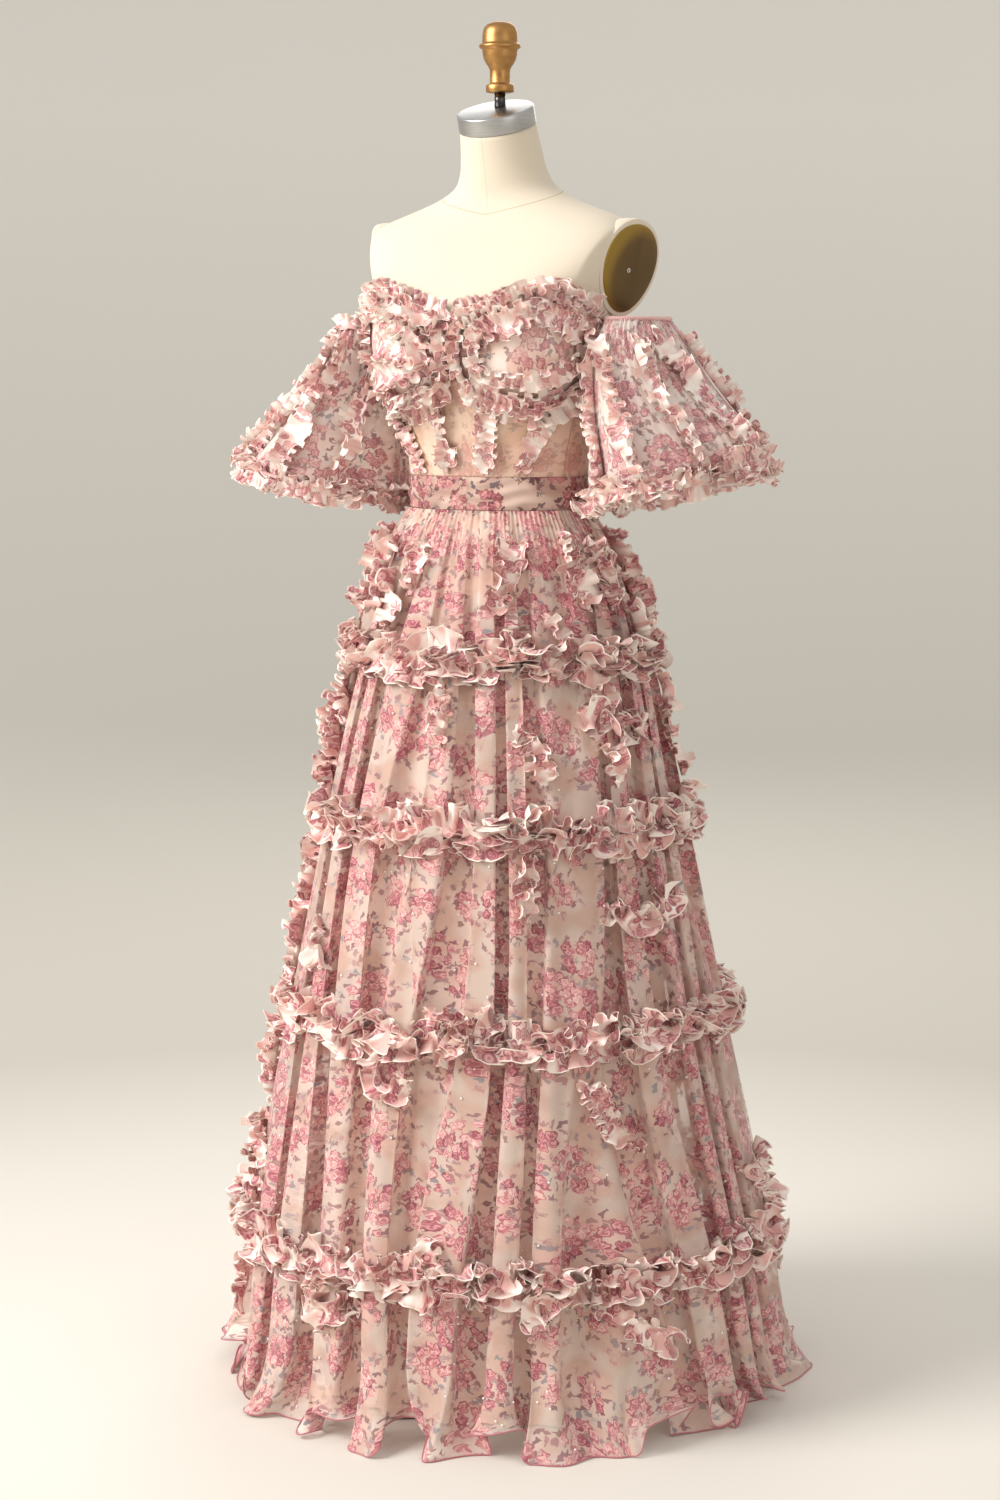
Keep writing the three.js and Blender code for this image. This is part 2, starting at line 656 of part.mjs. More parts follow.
// How far the skirt stands out at a seam, past a straight line over it.
function crownAt(column, seam, half) {
  const reach = (z) => {
    const p = skirtPoint(column, z, 0);
    return Math.hypot(p.x, p.y);
  };
  return Math.max(0, reach(seam) - (reach(seam - half) + reach(seam + half)) / 2);
}

// A frill sewn round the skirt over a tier's seam: its edges stand out at every other
// column, no two of them quite as far.
function addTierFrill(name, seam) {
  const { half, lift, deepTop, deepBottom } = TIER_FRILL;
  const grid = (out) =>
    [-1, 1].map((edge) => {
      const row = [];
      for (let i = 0; i < TULLE.columns; i += 1) {
        const wave = (i % 2) * (edge < 0 ? deepBottom : deepTop) * waveShare(i);
        const off = TULLE.thick + lift + crownAt(i, seam, half) + wave + out;
        row.push(skirtPoint(i, seam + edge * half, off));
      }
      return row;
    });
  add(name, wallBetween(grid(FRILL_THICK), grid(0), true), "frill");
}

// A frill laid slantwise over the gathers, one column at a step.
function addSlantFrill({ name, from, to, z, toZ }) {
  const grid = (out) =>
    [-1, 1].map((edge) => {
      const row = [];
      for (let i = from; i <= to; i += 1) {
        const level = lerp(z, toZ, (i - from) / (to - from)) + edge * SLANT_FRILL.half;
        const wave = (i % 2) * SLANT_FRILL.deep;
        row.push(skirtPoint(i, level, TULLE.thick + SLANT_FRILL.lift + wave + out));
      }
      return row;
    });
  add(name, wallBetween(grid(FRILL_THICK), grid(0)), "frill");
}

// ---- frills on the bodice and sleeves ------------------------------------------------

// A frill along a line of a surface, caught down its middle, its two edges standing out at
// every other step. surface.point(u, v, out) gives the surface, surface.du and surface.dv
// are small steps on it, and line is a list of [u, v].
function frillAlong(surface, line, { half, deep, lift }) {
  const { point, du, dv } = surface;
  const frames = line.map(([u, v], i) => {
    const [before, after] = [line[Math.max(i - 1, 0)], line[Math.min(i + 1, line.length - 1)]];
    const at = point(u, v, 0);
    const alongU = point(u + du, v, 0).sub(point(u - du, v, 0));
    const alongV = point(u, v + dv, 0).sub(point(u, v - dv, 0));
    const out = alongU.cross(alongV).normalize();
    if (out.dot(point(u, v, 1).sub(at)) < 0) out.negate();
    const run = point(after[0], after[1], 0).sub(point(before[0], before[1], 0)).normalize();
    const across = new THREE.Vector3().crossVectors(out, run).normalize();
    out.crossVectors(run, across);
    return { at, out, across };
  });
  const grid = (off) =>
    [-1, 0, 1].map((edge) =>
      frames.map(({ at, out, across }, i) => {
        const stand = Math.abs(edge) * (i % 2 ? deep : deep * 0.25);
        return at
          .clone()
          .addScaledVector(across, edge * half)
          .addScaledVector(out, lift + off + stand);
      }),
    );
  return wallBetween(grid(FRILL_THICK), grid(0));
}

function evenly(count, place) {
  return Array.from({ length: count + 1 }, (_, i) => place(i / count));
}

const BODICE_FACE = { point: bodicePoint, du: 0.8, dv: 1.5 };

function addBodiceFrills() {
  for (const [name, side] of [["left", 1], ["right", -1]]) {
    for (const bone of BONE_LINES) {
      const line = evenly(bone.steps, (t) => [
        side * lerp(bone.angle, bone.toAngle, t),
        lerp(bone.z, bone.toZ, t),
      ]);
      add(`bone_frill_${bone.name}_${name}`, frillAlong(BODICE_FACE, line, BONE_FRILL), "frill");
    }
    for (const { name: frill, from, to, up, off, steps, cut } of CUP_LINES) {
      const line = evenly(steps, (t) => {
        const angle = lerp(from, to, t);
        return [side * angle, lerp(underCup(angle), topEdge(angle), up) + off];
      });
      add(`${frill}_${name}`, frillAlong(BODICE_FACE, line, cut), "frill");
    }
  }
}

// ---- sleeves -------------------------------------------------------------------------

// A point kept clear of the bodice by off, moved level and straight out from it if needed.
function keptOff(p, off) {
  const ring = formRing(p.z);
  const wide = ring.half + BODICE.ease + BODICE.thick + off;
  const depth = (p.y < ring.y ? ring.front : ring.back) + BODICE.ease + BODICE.thick + off;
  const reach = Math.hypot(p.x / wide, (p.y - ring.y) / depth);
  if (reach < 1) p.set(p.x / reach, ring.y + (p.y - ring.y) / reach, p.z);
  return p;
}

// A sleeve's point: down goes from 0 at its top edge to 1 at its mouth, and turn is in
// degrees round it, 0 at its front and 90 at its outer side.
function sleevePoint(turn, down, out = 0) {
  const place = down * (SLEEVE_RINGS.length - 1);
  const row = Math.min(Math.floor(place), SLEEVE_RINGS.length - 2);
  const [a, b] = [SLEEVE_RINGS[row], SLEEVE_RINGS[row + 1]];
  const at = (name) => lerp(a[name], b[name], place - row);
  const puff = at("puff") * Math.cos(rad(SLEEVE.lobes * turn)) + out;
  const s = Math.sin(rad(turn));
  const c = Math.cos(rad(turn));
  const p = new THREE.Vector3((at("half") + puff) * s, -(at("depth") + puff) * c, 0);
  p.applyAxisAngle(new THREE.Vector3(0, 1, 0), -rad(at("lift")));
  p.add(new THREE.Vector3(at("x"), at("y"), at("z")));
  return keptOff(p, SLEEVE.offBody - out);
}

function flipped(geometry) {
  geometry.scale(-1, 1, 1);
  const index = geometry.index.array;
  for (let k = 0; k < index.length; k += 3) [index[k], index[k + 1]] = [index[k + 1], index[k]];
  return geometry;
}

function sleeveGeometry() {
  const rows = SLEEVE_RINGS.length;
  const grid = (out) =>
    Array.from({ length: rows }, (_, j) =>
      Array.from({ length: SLEEVE.columns }, (_, i) =>
        sleevePoint((360 * i) / SLEEVE.columns, 1 - j / (rows - 1), out),
      ),
    );
  return wallBetween(grid(SLEEVE.thick / 2), grid(-SLEEVE.thick / 2), true);
}

const sleeveFace = (turn, down, out) => sleevePoint(turn, down, out + SLEEVE.thick / 2);

// A frill down the crest of one of the sleeve's lobes.
function sleeveFrillGeometry(lobe) {
  const { top, bottom, steps } = SLEEVE_FRILL;
  const turn = (360 * lobe) / SLEEVE.lobes;
  const line = evenly(steps, (t) => [turn, lerp(bottom, top, t)]);
  const face = { point: sleeveFace, du: 2, dv: 0.02 };
  return frillAlong(face, line, SOFT_FRILL);
}

function addSleeves() {
  for (const [name, side] of [["left", 1], ["right", -1]]) {
    const placed = (geometry) => (side > 0 ? geometry : flipped(geometry));
    add(`sleeve_${name}`, placed(sleeveGeometry()), "print");
    for (const frill of SLEEVE_LINES)
      add(`${frill.name}_${name}`, placed(sleeveFrillGeometry(frill.lobe)), "frill");
  }
}

// ---- zip -----------------------------------------------------------------------------

// Where the slider's pin lies: straight behind the top of the centre-back seam.
function pinCentre() {
  const back = bodicePoint(180, ZIP.z + ZIP.tall / 2).y;
  return new THREE.Vector3(0, back + SEAM_GAP + ZIP.thick + ZIP.pinOut, ZIP.z);
}

function makeSlider() {
  const pin = pinCentre();
  const body = new THREE.BoxGeometry(ZIP.wide, ZIP.thick, ZIP.tall);
  body.translate(0, pin.y - ZIP.pinOut - ZIP.thick / 2, ZIP.z);
  let solid = toSolid(body);
  const reach = ZIP.pinOut + EAR.past;
  for (const side of [1, -1]) {
    const ear = new THREE.BoxGeometry(EAR.thick, reach + EAR.root, EAR.tall);
    const x = side * (EAR.gap / 2 + EAR.thick / 2);
    ear.translate(x, pin.y - ZIP.pinOut + (reach - EAR.root) / 2, ZIP.z);
    solid = solid.add(toSolid(ear));
  }
  const axle = new THREE.CylinderGeometry(ZIP.pin, ZIP.pin, EAR.gap + EAR.thick, 16);
  axle.rotateZ(Math.PI / 2);
  axle.translate(pin.x, pin.y, pin.z);
  return fromSolid(solid.add(toSolid(axle)));
}

function makePull() {
  const pin = pinCentre();
  const barrel = new THREE.CylinderGeometry(PULL.eye, PULL.eye, PULL.wide, 20);
  barrel.rotateZ(Math.PI / 2);
  const half = PULL.tipWide / 2;
  const tab = new THREE.Shape();
  tab.moveTo(-PULL.wide / 2, 0);
  tab.lineTo(-half, -PULL.length + half);
  tab.absarc(0, -PULL.length + half, half, Math.PI, 2 * Math.PI, false);
  tab.lineTo(PULL.wide / 2, 0);
  tab.closePath();
  const plate = new THREE.ExtrudeGeometry(tab, {
    depth: PULL.plate, bevelEnabled: false, curveSegments: 12,
  });
  plate.translate(0, 0, -PULL.plate / 2);
  plate.rotateX(Math.PI / 2);
  const bore = new THREE.CylinderGeometry(PULL.bore, PULL.bore, 2 * PULL.wide, 20);
  bore.rotateZ(Math.PI / 2);
  const solid = toSolid(barrel).add(toSolid(plate)).subtract(toSolid(bore));
  return fromSolid(solid).translate(pin.x, pin.y, pin.z);
}

// ---- the whole -----------------------------------------------------------------------

add("form_torso", makeTorso(), "canvas");
add("form_arm_plate_left", makeArmPlate(1), "bronze");
add("form_arm_plate_right", makeArmPlate(-1), "bronze");
add("form_neck_cap", makeNeckCap(), "steel");
add("form_cap_rod", makeCapRod(), "darkSteel");
add("form_finial", lathe(FINIAL_PROFILE, FINIAL_SIDES, CAP_ROD.top + SEAM_GAP), "gold");
makeStand();

addPanel("bodice_centre_front", CENTRE_PANEL.top, CENTRE_PANEL.waist, "sheer");
for (const panel of PANELS) {
  addPanel(`bodice_${panel.name}_left`, panel.top, panel.waist, "sheer");
  addPanel(`bodice_${panel.name}_right`, mirrored(panel.top), mirrored(panel.waist), "sheer");
}
addCup("cup_left", 1);
addCup("cup_right", -1);
addBand("waistband_front", -90, 90, 14);
addBand("waistband_back_left", 90, 180, 7);
addBand("waistband_back_right", 180, 270, 7);
addSkirt();
for (const [k, levels] of tiers().slice(1).entries()) addTierFrill(`tier_frill_${k + 1}`, levels[0]);
SLANT_LINES.forEach(addSlantFrill);
addBodiceFrills();
addSleeves();
add("zip_slider", makeSlider(), "zip");
add("zip_pull", makePull(), "zip");

export default dress;
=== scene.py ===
# An off-the-shoulder prom dress of floral printed tulle, on its canvas dress form.
# Tables are in millimetres and are turned to metres when a mesh is made. The front faces
# -Y and +X is the wearer's left. An angle round the body is in degrees, 0 at the front.
import math
import bpy
import numpy as np
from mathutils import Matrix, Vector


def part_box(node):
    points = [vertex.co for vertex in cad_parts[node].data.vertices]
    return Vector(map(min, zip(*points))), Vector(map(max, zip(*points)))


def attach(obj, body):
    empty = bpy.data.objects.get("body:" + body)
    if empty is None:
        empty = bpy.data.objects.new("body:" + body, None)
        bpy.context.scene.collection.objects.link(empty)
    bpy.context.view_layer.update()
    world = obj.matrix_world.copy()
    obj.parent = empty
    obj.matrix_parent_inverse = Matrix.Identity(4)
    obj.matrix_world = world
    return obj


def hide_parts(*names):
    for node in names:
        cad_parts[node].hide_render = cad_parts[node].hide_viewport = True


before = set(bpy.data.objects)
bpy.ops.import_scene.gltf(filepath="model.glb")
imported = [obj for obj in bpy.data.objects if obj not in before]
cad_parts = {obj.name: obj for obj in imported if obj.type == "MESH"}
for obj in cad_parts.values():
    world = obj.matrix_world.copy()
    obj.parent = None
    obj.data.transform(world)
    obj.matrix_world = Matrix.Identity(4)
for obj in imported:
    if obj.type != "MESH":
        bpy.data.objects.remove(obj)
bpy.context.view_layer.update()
gown = "gown_on_form"
scene = bpy.context.scene
scene.view_settings.view_transform = "Standard"
scene.cycles.transparent_max_bounces = 40  # many layers of net lie over each other

cameraSizes = {"turn": 27, "distance": 4.0, "eye": 1.335, "down": 7.3, "lens": 74.9}


def makeCamera(sizes):
    turn = math.radians(sizes["turn"])
    data = bpy.data.cameras.new("camera")
    data.lens = sizes["lens"]
    camera = bpy.data.objects.new("camera", data)
    away = sizes["distance"]
    camera.location = (away * math.sin(turn), -away * math.cos(turn), sizes["eye"])
    camera.rotation_euler = (math.radians(90 - sizes["down"]), 0, turn)
    scene.collection.objects.link(camera)
    scene.camera = camera


makeCamera(cameraSizes)
print("camera placed")


# numbers: smooth curves through a table's columns, and slow uneven drifts
def curve(table, column, at, key="z"):
    xs = np.array(table[key], float)
    ys = np.array(table[column], float)
    at = np.asarray(at, float)
    i = np.clip(np.searchsorted(xs, at), 1, len(xs) - 1)
    before = np.maximum(i - 2, 0)
    after = np.minimum(i + 1, len(xs) - 1)
    slopeLow = (ys[i] - ys[before]) / (xs[i] - xs[before])
    slopeHigh = (ys[after] - ys[i - 1]) / (xs[after] - xs[i - 1])
    span = xs[i] - xs[i - 1]
    t = np.clip((at - xs[i - 1]) / span, 0, 1)
    rise = t * t * (3 - 2 * t)
    leave = t * (1 - t) ** 2 * span * slopeLow
    arrive = t * t * (t - 1) * span * slopeHigh
    return ys[i - 1] + rise * (ys[i] - ys[i - 1]) + leave + arrive


def drift(turns, seed, slowest=1, terms=5):
    # wanders between about -1 and 1 and closes after one turn
    chance = np.random.default_rng(seed)
    total = 0
    for k in range(terms):
        size = chance.uniform(0.5, 1)
        total = total + size * np.sin(2 * np.pi * ((slowest + k) * turns + chance.random()))
    return total / (0.55 * terms)


def wander(length, spacing, seed):
    # the same along an open line: a value every so often, joined smoothly
    chance = np.random.default_rng(seed)
    knots = int(length[-1] / spacing) + 4
    values = chance.uniform(-1, 1, knots)
    place = length / spacing
    k = np.floor(place).astype(int)
    t = place - k
    t = t * t * (3 - 2 * t)
    return values[k] * (1 - t) + values[k + 1] * t


def unit(v):
    return v / np.maximum(np.linalg.norm(v, axis=-1, keepdims=True), 1e-9)


# the dress form's rings, from the hip to the neck, and the shapes that hang on them
formRings = {
    "z": [790, 880, 955, 1040, 1100, 1157, 1200, 1260, 1320, 1372, 1400, 1425, 1455, 1480,
          1496, 1508, 1522, 1538, 1556, 1580, 1613],
    "half": [154, 161, 159, 143, 118, 116, 118, 129, 141, 149, 160, 172, 180, 179,
             160, 132, 100, 74, 60, 53, 48],
    "front": [106, 110, 108, 99, 87, 86, 89, 102, 116, 122, 114, 102, 88, 73,
              63, 57, 53, 51, 51, 50, 48],
    "back": [116, 126, 122, 104, 85, 82, 84, 90, 96, 101, 103, 104, 100, 92,
             82, 72, 64, 57, 54, 51, 48],
    "y": [0, 0, 0, 0, -2, -3, -4, -5, -6, -6, -2, 3, 9, 14, 17, 18, 17, 14, 10, 4, -6],
    "square": [2.1, 2.1, 2.1, 2, 2, 2, 2, 2, 2, 2.1, 2.3, 2.6, 2.8, 2.6, 2.3, 2.1, 2, 2, 2, 2, 2],
    "tilt": [0, 0, 0, 0, 0, 0, 0, 0, 0, 0, 0, 0, 0, 0, 0, 0, 2, 6, 10, 15, 19],
}
skirtRings = {
    "z": [0, 45, 204, 491, 741, 952, 1085, 1136],
    "half": [364, 352, 328, 272, 226, 185, 146, 120],
    "front": [354, 342, 318, 262, 214, 158, 112, 90],
    "back": [376, 362, 336, 276, 224, 166, 118, 86.5],
    "y": [18, 16, 14, 12, 8, 4, 0, -3],
    "fold": [20, 19, 17, 14, 12, 10, 8, 1.5],
}
slipRings = {
    "z": [30, 55, 950, 1040, 1136],
    "half": [279, 276, 166, 150, 118],
    "front": [269, 266, 138, 116, 88],
    "back": [287, 284, 148, 124, 84.5],
    "y": [12, 12, 4, 0, -3],
    "fold": [12, 12, 6, 3, 0],
}
neckline = {
    "at": [0, 14, 30, 44, 60, 74, 80, 90, 120, 150, 180],
    "z": [1376, 1386, 1405, 1414, 1402, 1386, 1377, 1370, 1366, 1359, 1352],
}
underCupLine = {"at": [0, 14, 34, 50, 62, 73.4], "z": [1300, 1279, 1262, 1263, 1275, 1296]}
cup = {"side": 73.4, "sideTop": 78, "bulge": 24, "topBulge": 3, "round": 0.75, "full": 0.8,
       "droop": 0.72}
bodice = {"off": 3.6, "bottom": 1178}


def ringPoint(rings, angle, z, out=0.0):
    angle, z, out = np.broadcast_arrays(np.asarray(angle, float), z, out)
    s = np.sin(np.radians(angle))
    c = np.cos(np.radians(angle))
    half = curve(rings, "half", z)
    depth = np.where(c > 0, curve(rings, "front", z), curve(rings, "back", z))
    power = 2 / curve(rings, "square", z) if "square" in rings else 1.0
    way = unit(np.stack([s / half, -c / depth], -1))
    x = half * np.sign(s) * np.abs(s) ** power + way[..., 0] * out
    y = curve(rings, "y", z) - depth * np.sign(c) * np.abs(c) ** power + way[..., 1] * out
    return np.stack([x, y, z + 0 * x], -1)


def topEdge(angle):
    return curve(neckline, "z", np.abs(angle), "at")


def underCup(angle):
    return curve(underCupLine, "z", np.minimum(np.abs(angle), cup["side"]), "at")


def cupBulge(angle, z):
    a = np.abs(angle)
    low = underCup(a)
    up = np.clip((z - low) / (topEdge(a) - low), 0, 1)
    across = np.clip(a / (cup["side"] + (cup["sideTop"] - cup["side"]) * up), 0, 1)
    bulge = np.sin(np.pi * across) ** cup["round"]
    rise = np.sin(np.pi * up ** cup["droop"]) ** cup["full"]
    return np.nan_to_num(bulge * (cup["bulge"] * rise + cup["topBulge"] * up))


def bodicePoint(angle, z, out=0.0):
    return ringPoint(formRings, angle, z, bodice["off"] + out + cupBulge(angle, z))


# meshes: a grid of points becomes cloth, and several grids can be one piece. Each keeps the
# cut of its cloth, laid flat, in its UV map in metres.
def makePiece(name, grids, material):
    points, faces, corners, start = [], [], [], 0
    for grid in grids:
        place, flat = np.asarray(grid["points"], float), grid["flat"]
        rows, columns = place.shape[:2]
        across = columns if grid.get("loop") else columns - 1
        j, i = np.meshgrid(np.arange(rows - 1), np.arange(across), indexing="ij")
        nextColumn = (i + 1) % columns
        quad = [j * columns + i, j * columns + nextColumn,
                (j + 1) * columns + nextColumn, (j + 1) * columns + i]
        cut = [flat[j, i], flat[j, i + 1], flat[j + 1, i + 1], flat[j + 1, i]]
        if grid.get("flip"):
            quad.reverse()
            cut.reverse()
        faces.append(np.stack(quad, -1).reshape(-1, 4) + start)
        corners.append(np.stack(cut, -2).reshape(-1, 2))
        points.append(place.reshape(-1, 3) * 0.001)
        start += rows * columns
    mesh = bpy.data.meshes.new(name)
    mesh.from_pydata(np.concatenate(points).tolist(), [], np.concatenate(faces).tolist())
    layer = mesh.uv_layers.new(name="cut")
    layer.data.foreach_set("uv", np.concatenate(corners).astype(np.float32).ravel())
    mesh.materials.append(material)
    mesh.shade_smooth()
    piece = bpy.data.objects.new(name, mesh)
    scene.collection.objects.link(piece)
    return piece


def layFlat(points, loop=False, offset=(0.0, 0.0)):
    # the cut of a grid: lengths along its middle row, and down its columns on average
    closed = np.concatenate([points, points[:, :1]], 1) if loop else points
    steps = np.linalg.norm(np.diff(closed, axis=1), axis=-1)
    u = np.concatenate([[0], np.cumsum(steps[len(steps) // 2])]) * 0.001 + offset[0]
    drops = np.linalg.norm(np.diff(points, axis=0), axis=-1).mean(1)
    v = np.concatenate([[0], np.cumsum(drops)]) * 0.001 + offset[1]
    return np.stack(np.broadcast_arrays(u[None, :], v[:, None]), -1)


def thicken(piece, thick):
    # gives the cloth a wall on its inner side, in millimetres
    wall = piece.modifiers.new("cloth wall", "SOLIDIFY")
    wall.thickness = thick / 1000
    wall.offset = -1.0


def settle(piece, slot, *nodes):
    # the piece goes with the gown and stands in for any CAD nodes named; slot is not used
    if nodes:
        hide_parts(*nodes)
    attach(piece, gown)


def recoat(nodes, material):
    # a CAD node's mesh stays as it is, in a new material
    for node in nodes:
        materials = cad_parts[node].data.materials
        materials.clear()
        materials.append(material)


def spaced(values, count):
    # even steps through a line's few values
    return np.interp(np.linspace(0, 1, count), np.linspace(0, 1, len(values)), values)


def declareCloth(grids):
    # the flat size is the cut's own, as its UV map lays it out
    area, width, length = 0.0, 0.0, 0.0
    for grid in grids:
        flat = grid["flat"]
        size = grid.get("size", flat.reshape(-1, 2).max(0) - flat.reshape(-1, 2).min(0))
        width += size[0]
        length = max(length, size[1])
        area += size[0] * size[1]
    width, length = float(max(width, 0.011)), float(max(length, 0.011))


plateSizes = {"x": 168, "y": 20, "z": 1437, "halfHeight": 56, "halfDepth": 53, "thick": 5,
              "tilt": 14, "toe": 12, "dome": 0.9, "egg": 0.13, "screw": 3.2, "screwAt": (-4, -2)}


def armAxes(side, sizes):
    # an armhole's axes: out, up and back. It leans down and turns to the front a little.
    lean, toe = math.radians(sizes["tilt"]), math.radians(sizes["toe"])
    out = np.array([side * math.cos(lean) * math.cos(toe), -math.cos(lean) * math.sin(toe),
                    -math.sin(lean)])
    up = np.array([side * math.sin(lean) * math.cos(toe), -math.sin(lean) * math.sin(toe),
                   math.cos(lean)])
    return out, up, np.array([side * math.sin(toe), math.cos(toe), 0])


# materials
def linear(code):
    # sRGB hex to the linear colour that shaders take
    parts = [int(code[k:k + 2], 16) / 255 for k in (1, 3, 5)]
    return tuple(c / 12.92 if c <= 0.04045 else ((c + 0.055) / 1.055) ** 2.4 for c in parts) + (1,)


def addNode(tree, kind, settings=None, inputs=None):
    node = tree.nodes.new(kind)
    for key, value in (settings or {}).items():
        setattr(node, key, value)
    for key, value in (inputs or {}).items():
        if isinstance(value, bpy.types.NodeSocket):
            tree.links.new(value, node.inputs[key])
        else:
            node.inputs[key].default_value = value
    return node


def newMaterial(name):
    material = bpy.data.materials.new(name)
    material.use_nodes = True
    tree = material.node_tree
    tree.nodes.clear()
    shader = addNode(tree, "ShaderNodeBsdfPrincipled")
    addNode(tree, "ShaderNodeOutputMaterial", None, {"Surface": shader.outputs["BSDF"]})
    return material, tree, shader


def setRamp(node, stops):
    ramp = node.color_ramp
    while len(ramp.elements) < len(stops):
        ramp.elements.new(0.5)
    for element, (place, code) in zip(ramp.elements, stops):
        element.position = place
        element.color = linear(code)


printSizes = {"rose": 0.0126, "leaf": 0.0128, "sprig": 0.02, "bunch": 0.062}
printColors = {
    "rose": [(0, "#efcdc5"), (0.28, "#dda7a5"), (0.5, "#c2757e"), (0.72, "#9d4a5e"),
             (1, "#762c40")],
    "leaf": [(0, "#a37d79"), (0.4, "#8b666c"), (0.7, "#b58a8a"), (1, "#8c8c90")],
    "sprig": [(0, "#8e9196"), (0.5, "#a67f82"), (1, "#ba7d84")],
    "wash": "#e0ada6",
}
shadedBandColors = {  # the print shows darker on the band, partly as its pleats lay it over itself and partly as painted shade between the pleats
    "rose": [(0, "#e0b2aa"), (0.28, "#c48886"), (0.5, "#a35a62"), (0.72, "#7d3c49"),
             (1, "#5c2433")],
    "leaf": [(0, "#7c5a56"), (0.4, "#644a4e"), (0.7, "#8a6668"), (1, "#66676c")],
    "sprig": [(0, "#6d7076"), (0.5, "#845f61"), (1, "#96595f")],
    "wash": "#c59a90",
}


def drawRose(tree, distance, angle, chance, colors):
    # a rounded head, its petals drawn as a spiral and its rim darker
    disc = addNode(tree, "ShaderNodeMapRange", None, {0: distance, 1: 0.5, 2: 0.58, 3: 1.0, 4: 0.0})
    spiral = addNode(tree, "ShaderNodeMath", {"operation": "MULTIPLY_ADD"},
                     {0: distance, 1: 17.0, 2: angle})
    petals = addNode(tree, "ShaderNodeMath", {"operation": "SINE"}, {0: spiral.outputs[0]})
    outlined = addNode(tree, "ShaderNodeMapRange", None,
                       {0: distance, 1: 0.3, 2: 0.56, 3: 0.16, 4: 0.5})
    swirled = addNode(tree, "ShaderNodeMath", {"operation": "MULTIPLY_ADD"},
                      {0: petals.outputs[0], 1: 0.17, 2: outlined.outputs[0]})
    tone = addNode(tree, "ShaderNodeMath", {"operation": "MULTIPLY_ADD"},
                   {0: chance, 1: 0.42, 2: swirled.outputs[0]})
    roseColor = addNode(tree, "ShaderNodeValToRGB", None, {0: tone.outputs[0]})
    setRamp(roseColor, colors["rose"])
    return disc, roseColor


def addGreenery(tree, motifs, bearing, within, sizes, colors):
    # leaves: pointed ovals turned any way, among and round the roses
    leaf = motifs(sizes["leaf"], (11.3, 2.9, 0))
    way = bearing(leaf, 1, leaf["chance"][0])
    across = addNode(tree, "ShaderNodeMath", {"operation": "SINE"}, {0: way})
    offAxis = addNode(tree, "ShaderNodeMath", {"operation": "MULTIPLY"},
                      {0: across.outputs[0], 1: leaf["distance"]})
    offAxisSize = addNode(tree, "ShaderNodeMath", {"operation": "ABSOLUTE"},
                          {0: offAxis.outputs[0]})
    squared = addNode(tree, "ShaderNodeMath", {"operation": "MULTIPLY"},
                      {0: leaf["distance"], 1: leaf["distance"]})
    outline = addNode(tree, "ShaderNodeMath", {"operation": "MULTIPLY_ADD"},
                      {0: squared.outputs[0], 1: -0.85, 2: 0.25})
    beyond = addNode(tree, "ShaderNodeMath", {"operation": "SUBTRACT"},
                     {0: offAxisSize.outputs[0], 1: outline.outputs[0]})
    blade = addNode(tree, "ShaderNodeMapRange", None,
                    {0: beyond.outputs[0], 1: -0.03, 2: 0.02, 3: 1.0, 4: 0.0})
    leafMask = addNode(tree, "ShaderNodeMath", {"operation": "MULTIPLY"},
                       {0: blade.outputs[0], 1: within(leaf, 0.029, 0.013)})
    leafColor = addNode(tree, "ShaderNodeValToRGB", None, {0: leaf["chance"][1]})
    setRamp(leafColor, colors["leaf"])

    # sprigs: small star flowers, here and there all over
    sprig = motifs(sizes["sprig"], (5.7, 13.1, 0))
    star = addNode(tree, "ShaderNodeMath", {"operation": "COSINE"},
                   {0: bearing(sprig, 5, sprig["chance"][1])})
    reach = addNode(tree, "ShaderNodeMath", {"operation": "MULTIPLY_ADD"},
                    {0: star.outputs[0], 1: 0.13, 2: 0.14})
    starPast = addNode(tree, "ShaderNodeMath", {"operation": "SUBTRACT"},
                       {0: sprig["distance"], 1: reach.outputs[0]})
    starDisc = addNode(tree, "ShaderNodeMapRange", None,
                       {0: starPast.outputs[0], 1: -0.04, 2: 0.02, 3: 1.0, 4: 0.0})
    rare = addNode(tree, "ShaderNodeMath", {"operation": "GREATER_THAN"},
                   {0: sprig["chance"][2], 1: 0.5})
    sprigMask = addNode(tree, "ShaderNodeMath", {"operation": "MULTIPLY"},
                        {0: starDisc.outputs[0], 1: rare.outputs[0]})
    sprigColor = addNode(tree, "ShaderNodeValToRGB", None, {0: sprig["chance"][0]})
    setRamp(sprigColor, colors["sprig"])
    return [(sprigColor, sprigMask), (leafColor, leafMask)]


def newPrint(name):
    # a print takes the cut's place in metres and gives its colour and where there is ink
    tree = bpy.data.node_groups.new(name, "ShaderNodeTree")
    tree.interface.new_socket("Cloth", in_out="INPUT", socket_type="NodeSocketVector")
    tree.interface.new_socket("Color", in_out="OUTPUT", socket_type="NodeSocketColor")
    tree.interface.new_socket("Inked", in_out="OUTPUT", socket_type="NodeSocketFloat")
    return tree, addNode(tree, "NodeGroupInput").outputs["Cloth"]


